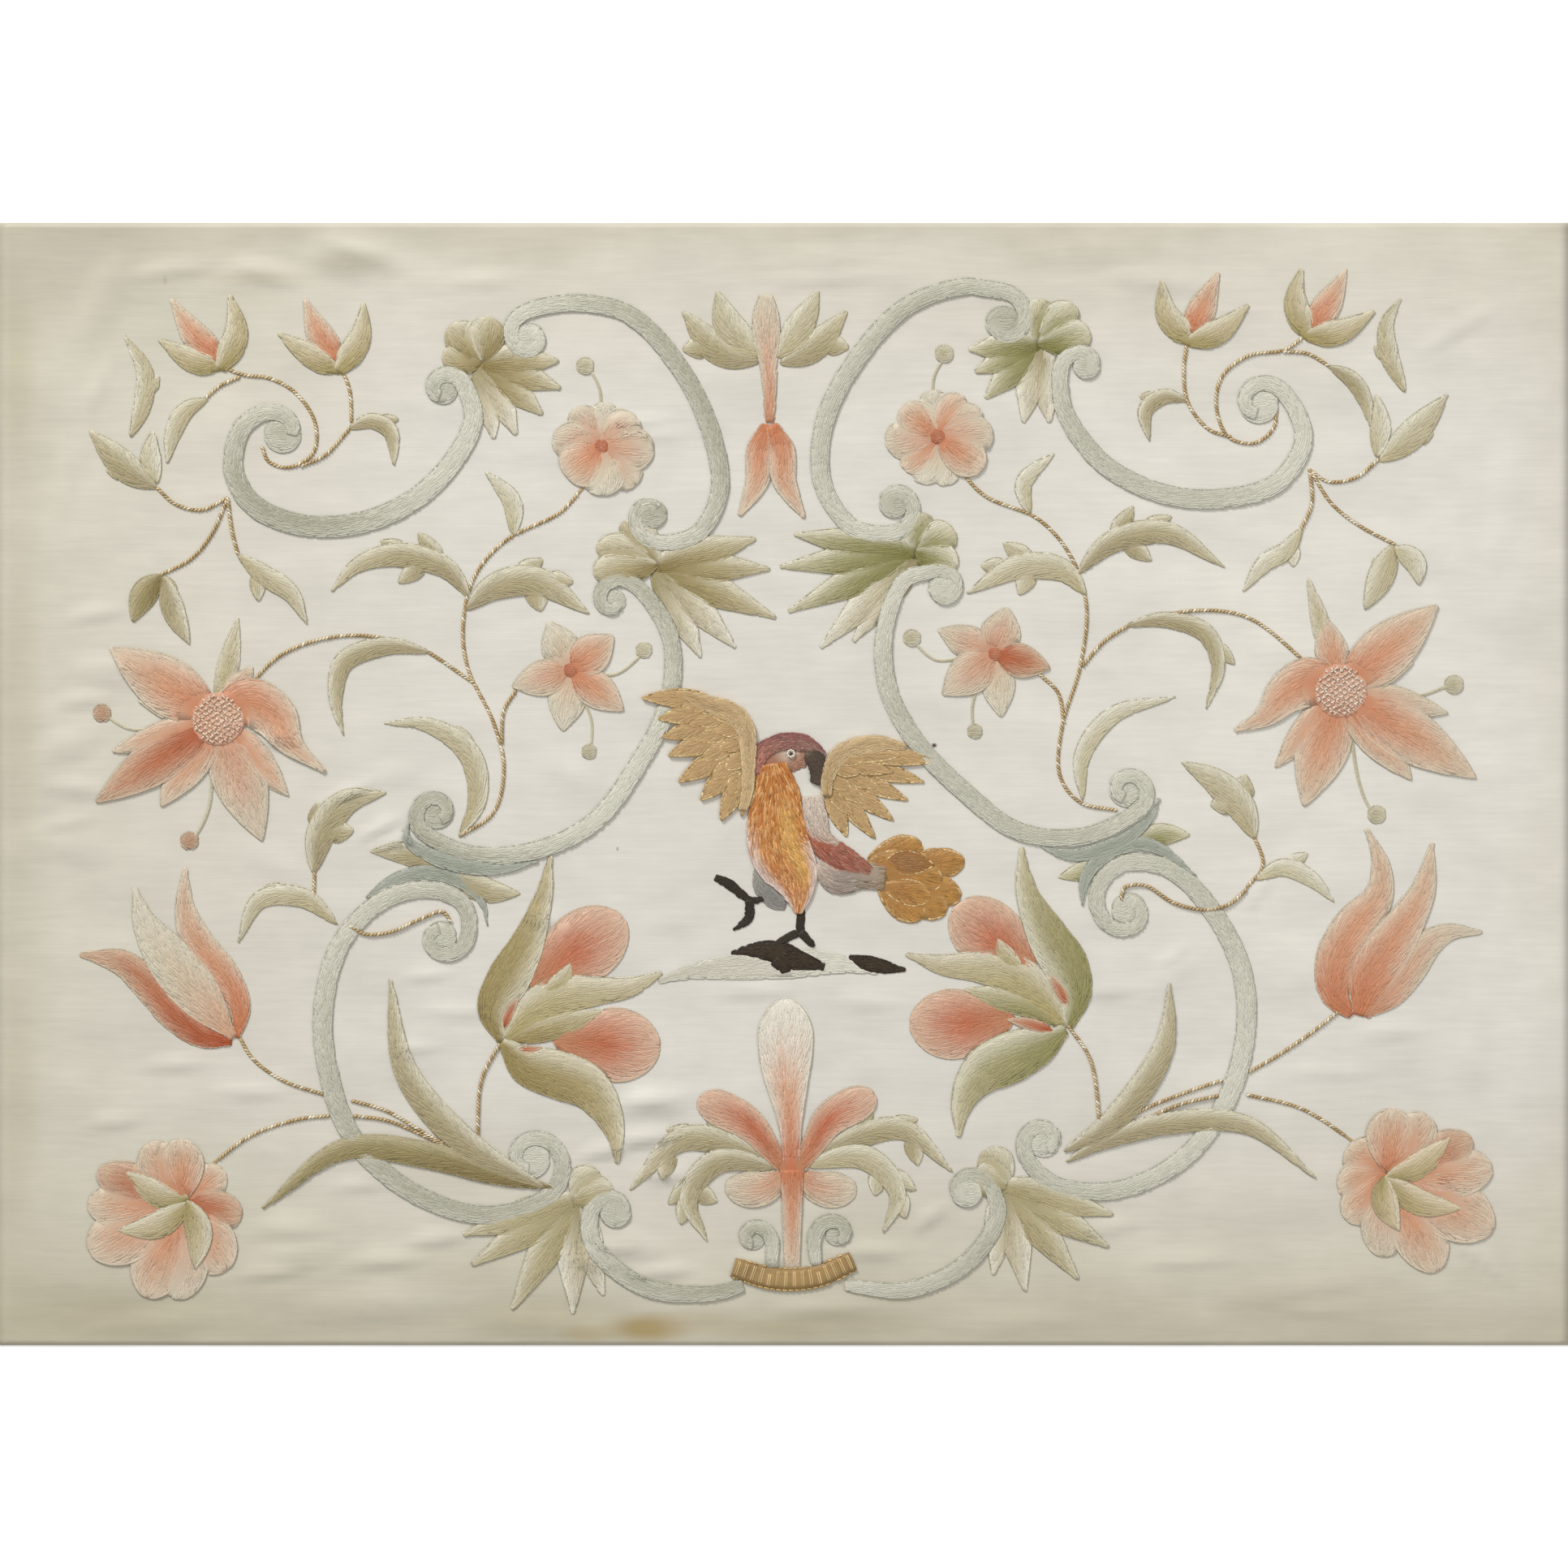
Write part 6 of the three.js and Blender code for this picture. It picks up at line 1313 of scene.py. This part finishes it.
    # the weft is really about 0.25 mm; it is drawn at 0.9 mm so that it shows. A wave of scale 1 repeats
    # after 2 pi / 20 of a metre.
    weftScale = 2 * math.pi / (20 * look["weftPitch"] * metre)
    weft = addNode(material, "ShaderNodeTexWave", {"wave_type": "BANDS", "bands_direction": "Y"},
                   Vector=place, Scale=weftScale, Distortion=1.2, Detail=2.0)
    height = addNode(material, "ShaderNodeMath", {"operation": "MULTIPLY_ADD"}, i0=shades[0], i1=14.0,
                     i2=weft.outputs["Fac"])
    bump = addNode(material, "ShaderNodeBump", Height=height.outputs[0], Strength=look["weftBump"],
                   Distance=0.0001)
    links.new(bump.outputs["Normal"], shader.inputs["Normal"])
    shader.inputs["Roughness"].default_value = look["roughness"]
    shader.inputs["Specular IOR Level"].default_value = look["specular"]
    shader.inputs["Sheen Weight"].default_value = look["sheen"]
    return material


# The silk: its thickness, the steps of its grid each way and the height of its ripple
cloth = {"thickness": 0.7, "columns": 150, "rows": 212, "ripple": 0.10}


def makeCloth():
    # its top is the swell of its puckers and a slight ripple of sines; its back is the swell alone, lower by
    # one thickness
    columns, rows = cloth["columns"], cloth["rows"]
    xs = np.linspace(-panelWidth / 2, panelWidth / 2, columns + 1)
    ys = np.linspace(-panelHeight / 2, panelHeight / 2, rows + 1)
    gx, gy = np.meshgrid(xs, ys)
    rippleX = np.sin(gx / 17 + 1.3 * np.sin(gy / 31))
    rippleY = np.sin(gy / 11 + 0.8 * np.sin(gx / 43))
    ripple = cloth["ripple"] * (rippleX * rippleY)
    low = swell(gx, gy)
    top = np.stack([gx, gy, low + cloth["thickness"] + ripple - cloth["ripple"]], -1).reshape(-1, 3)
    back = np.stack([gx, gy, low], -1).reshape(-1, 3)
    points = np.concatenate([top, back])
    row = columns + 1
    a = (np.arange(rows)[:, None] * row + np.arange(columns)[None, :]).ravel()
    b, c, d = a + 1, a + row + 1, a + row
    lower = row * (rows + 1)
    faces = [np.stack([a, b, c], 1), np.stack([a, c, d], 1),
             lower + np.stack([a, c, b], 1), lower + np.stack([a, d, c], 1)]
    south = np.arange(columns)
    north = rows * row + np.arange(columns)
    west = np.arange(rows) * row
    east = np.arange(rows) * row + columns
    for p, q in ((south + 1, south), (north, north + 1), (west, west + row), (east + row, east)):
        faces += [np.stack([p, q, q + lower], 1), np.stack([p, q + lower, p + lower], 1)]
    piece = makeMesh("silk_ground", points, np.concatenate(faces), None, [makeSatin()])
    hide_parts("ground_cloth")
    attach(piece, "root")
    return piece


def makeEmbroidery():
    # one piece for each CAD node: its beds, its stitches and its gilt threads
    floss = makeFloss()
    giltThread = makeGilt()
    total = 0
    for node in layers:
        parts = [padMesh(p) for p in patches if p["node"] == node]
        if store[node]:
            parts.append(threadMesh(store[node]))
        shift = np.cumsum([0] + [len(p[0]) for p in parts[:-1]])
        points = np.concatenate([p[0] for p in parts])
        faces = np.concatenate([p[1] + s for p, s in zip(parts, shift)])
        colours = np.concatenate([p[2] for p in parts])
        metal = np.concatenate([p[3] for p in parts])
        flat = np.concatenate([p[4] for p in parts])
        piece = makeMesh(node + "_stitches", points, faces, colours, [floss, giltThread], metal, flat)
        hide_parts(*[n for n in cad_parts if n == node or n.startswith(node + "_part_")])
        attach(piece, "root")
        total += len(faces)
    print("stitches:", sum(len(r["x"]) for rows in store.values() for r in rows), "triangles:", total)


def makeStage():
    # a pale floor, soft light from two sides and a camera straight above, as in the photo; a light's row is
    # its name, place, power and size. The span is the width of the view at the floor.
    view = {"span": 0.7728, "height": 2.4, "sensor": 36.0, "floor": 4.0, "floorGlow": 0.16, "world": 0.465,
            "lights": [["keyLight", (-1.6, 2.8, 1.9), 111, 1.0], ["fillLight", (1.9, -0.4, 2.2), 18, 1.8]]}
    floorMesh = bpy.data.meshes.new("floor")
    size = view["floor"]
    floorMesh.from_pydata([(-size, -size, 0), (size, -size, 0), (size, size, 0), (-size, size, 0)], [],
                          [(0, 1, 2, 3)])
    floor = bpy.data.objects.new("floor", floorMesh)
    bpy.context.scene.collection.objects.link(floor)
    material, shader = newMaterial("paleFloor")
    shader.inputs["Base Color"].default_value = (1, 1, 1, 1)
    shader.inputs["Emission Color"].default_value = (1, 1, 1, 1)
    shader.inputs["Emission Strength"].default_value = view["floorGlow"]
    shader.inputs["Roughness"].default_value = 0.9
    floorMesh.materials.append(material)
    cameraData = bpy.data.cameras.new("camera")
    cameraData.sensor_width = view["sensor"]
    cameraData.lens = view["sensor"] * view["height"] / view["span"]
    camera = bpy.data.objects.new("camera", cameraData)
    camera.location = (0, 0, view["height"])
    bpy.context.scene.collection.objects.link(camera)
    bpy.context.scene.camera = camera
    for name, spot, power, wide in view["lights"]:
        lightData = bpy.data.lights.new(name, "AREA")
        lightData.energy = power
        lightData.size = wide
        light = bpy.data.objects.new(name, lightData)
        light.location = spot
        aim = np.array(spot) / np.linalg.norm(spot)
        light.rotation_euler = (math.acos(aim[2]), 0, math.atan2(aim[1], aim[0]) + math.pi / 2)
        bpy.context.scene.collection.objects.link(light)
    world = bpy.data.worlds.new("softWorld")
    world.use_nodes = True
    sky = world.node_tree.nodes["Background"]
    sky.inputs["Color"].default_value = (1, 1, 1, 1)
    sky.inputs["Strength"].default_value = view["world"]
    bpy.context.scene.world = world
    bpy.context.scene.view_settings.view_transform = "Standard"


makeStage()
print("stage made")
for node in layers[::-1]:
    addForms(node)
print("forms:", len(patches))
makeRaster()
print("forms painted")
for index, patch in enumerate(patches):
    kind = patch["kind"]
    if kind == "cord":
        twistCord(patch, index)
    elif kind in ("stalk", "ribs"):
        crossFill(patch, index)
    else:
        fillForm(patch, index)
    if kind == "ribs":
        ribsOver(patch, index)
    if kind == "trellis":
        latticeOver(patch)
    if patch["outline"]:
        outlineForm(patch, index)
eyeOfBird()
print("stitches laid")
makeEmbroidery()
makeCloth()
print("cloth made")
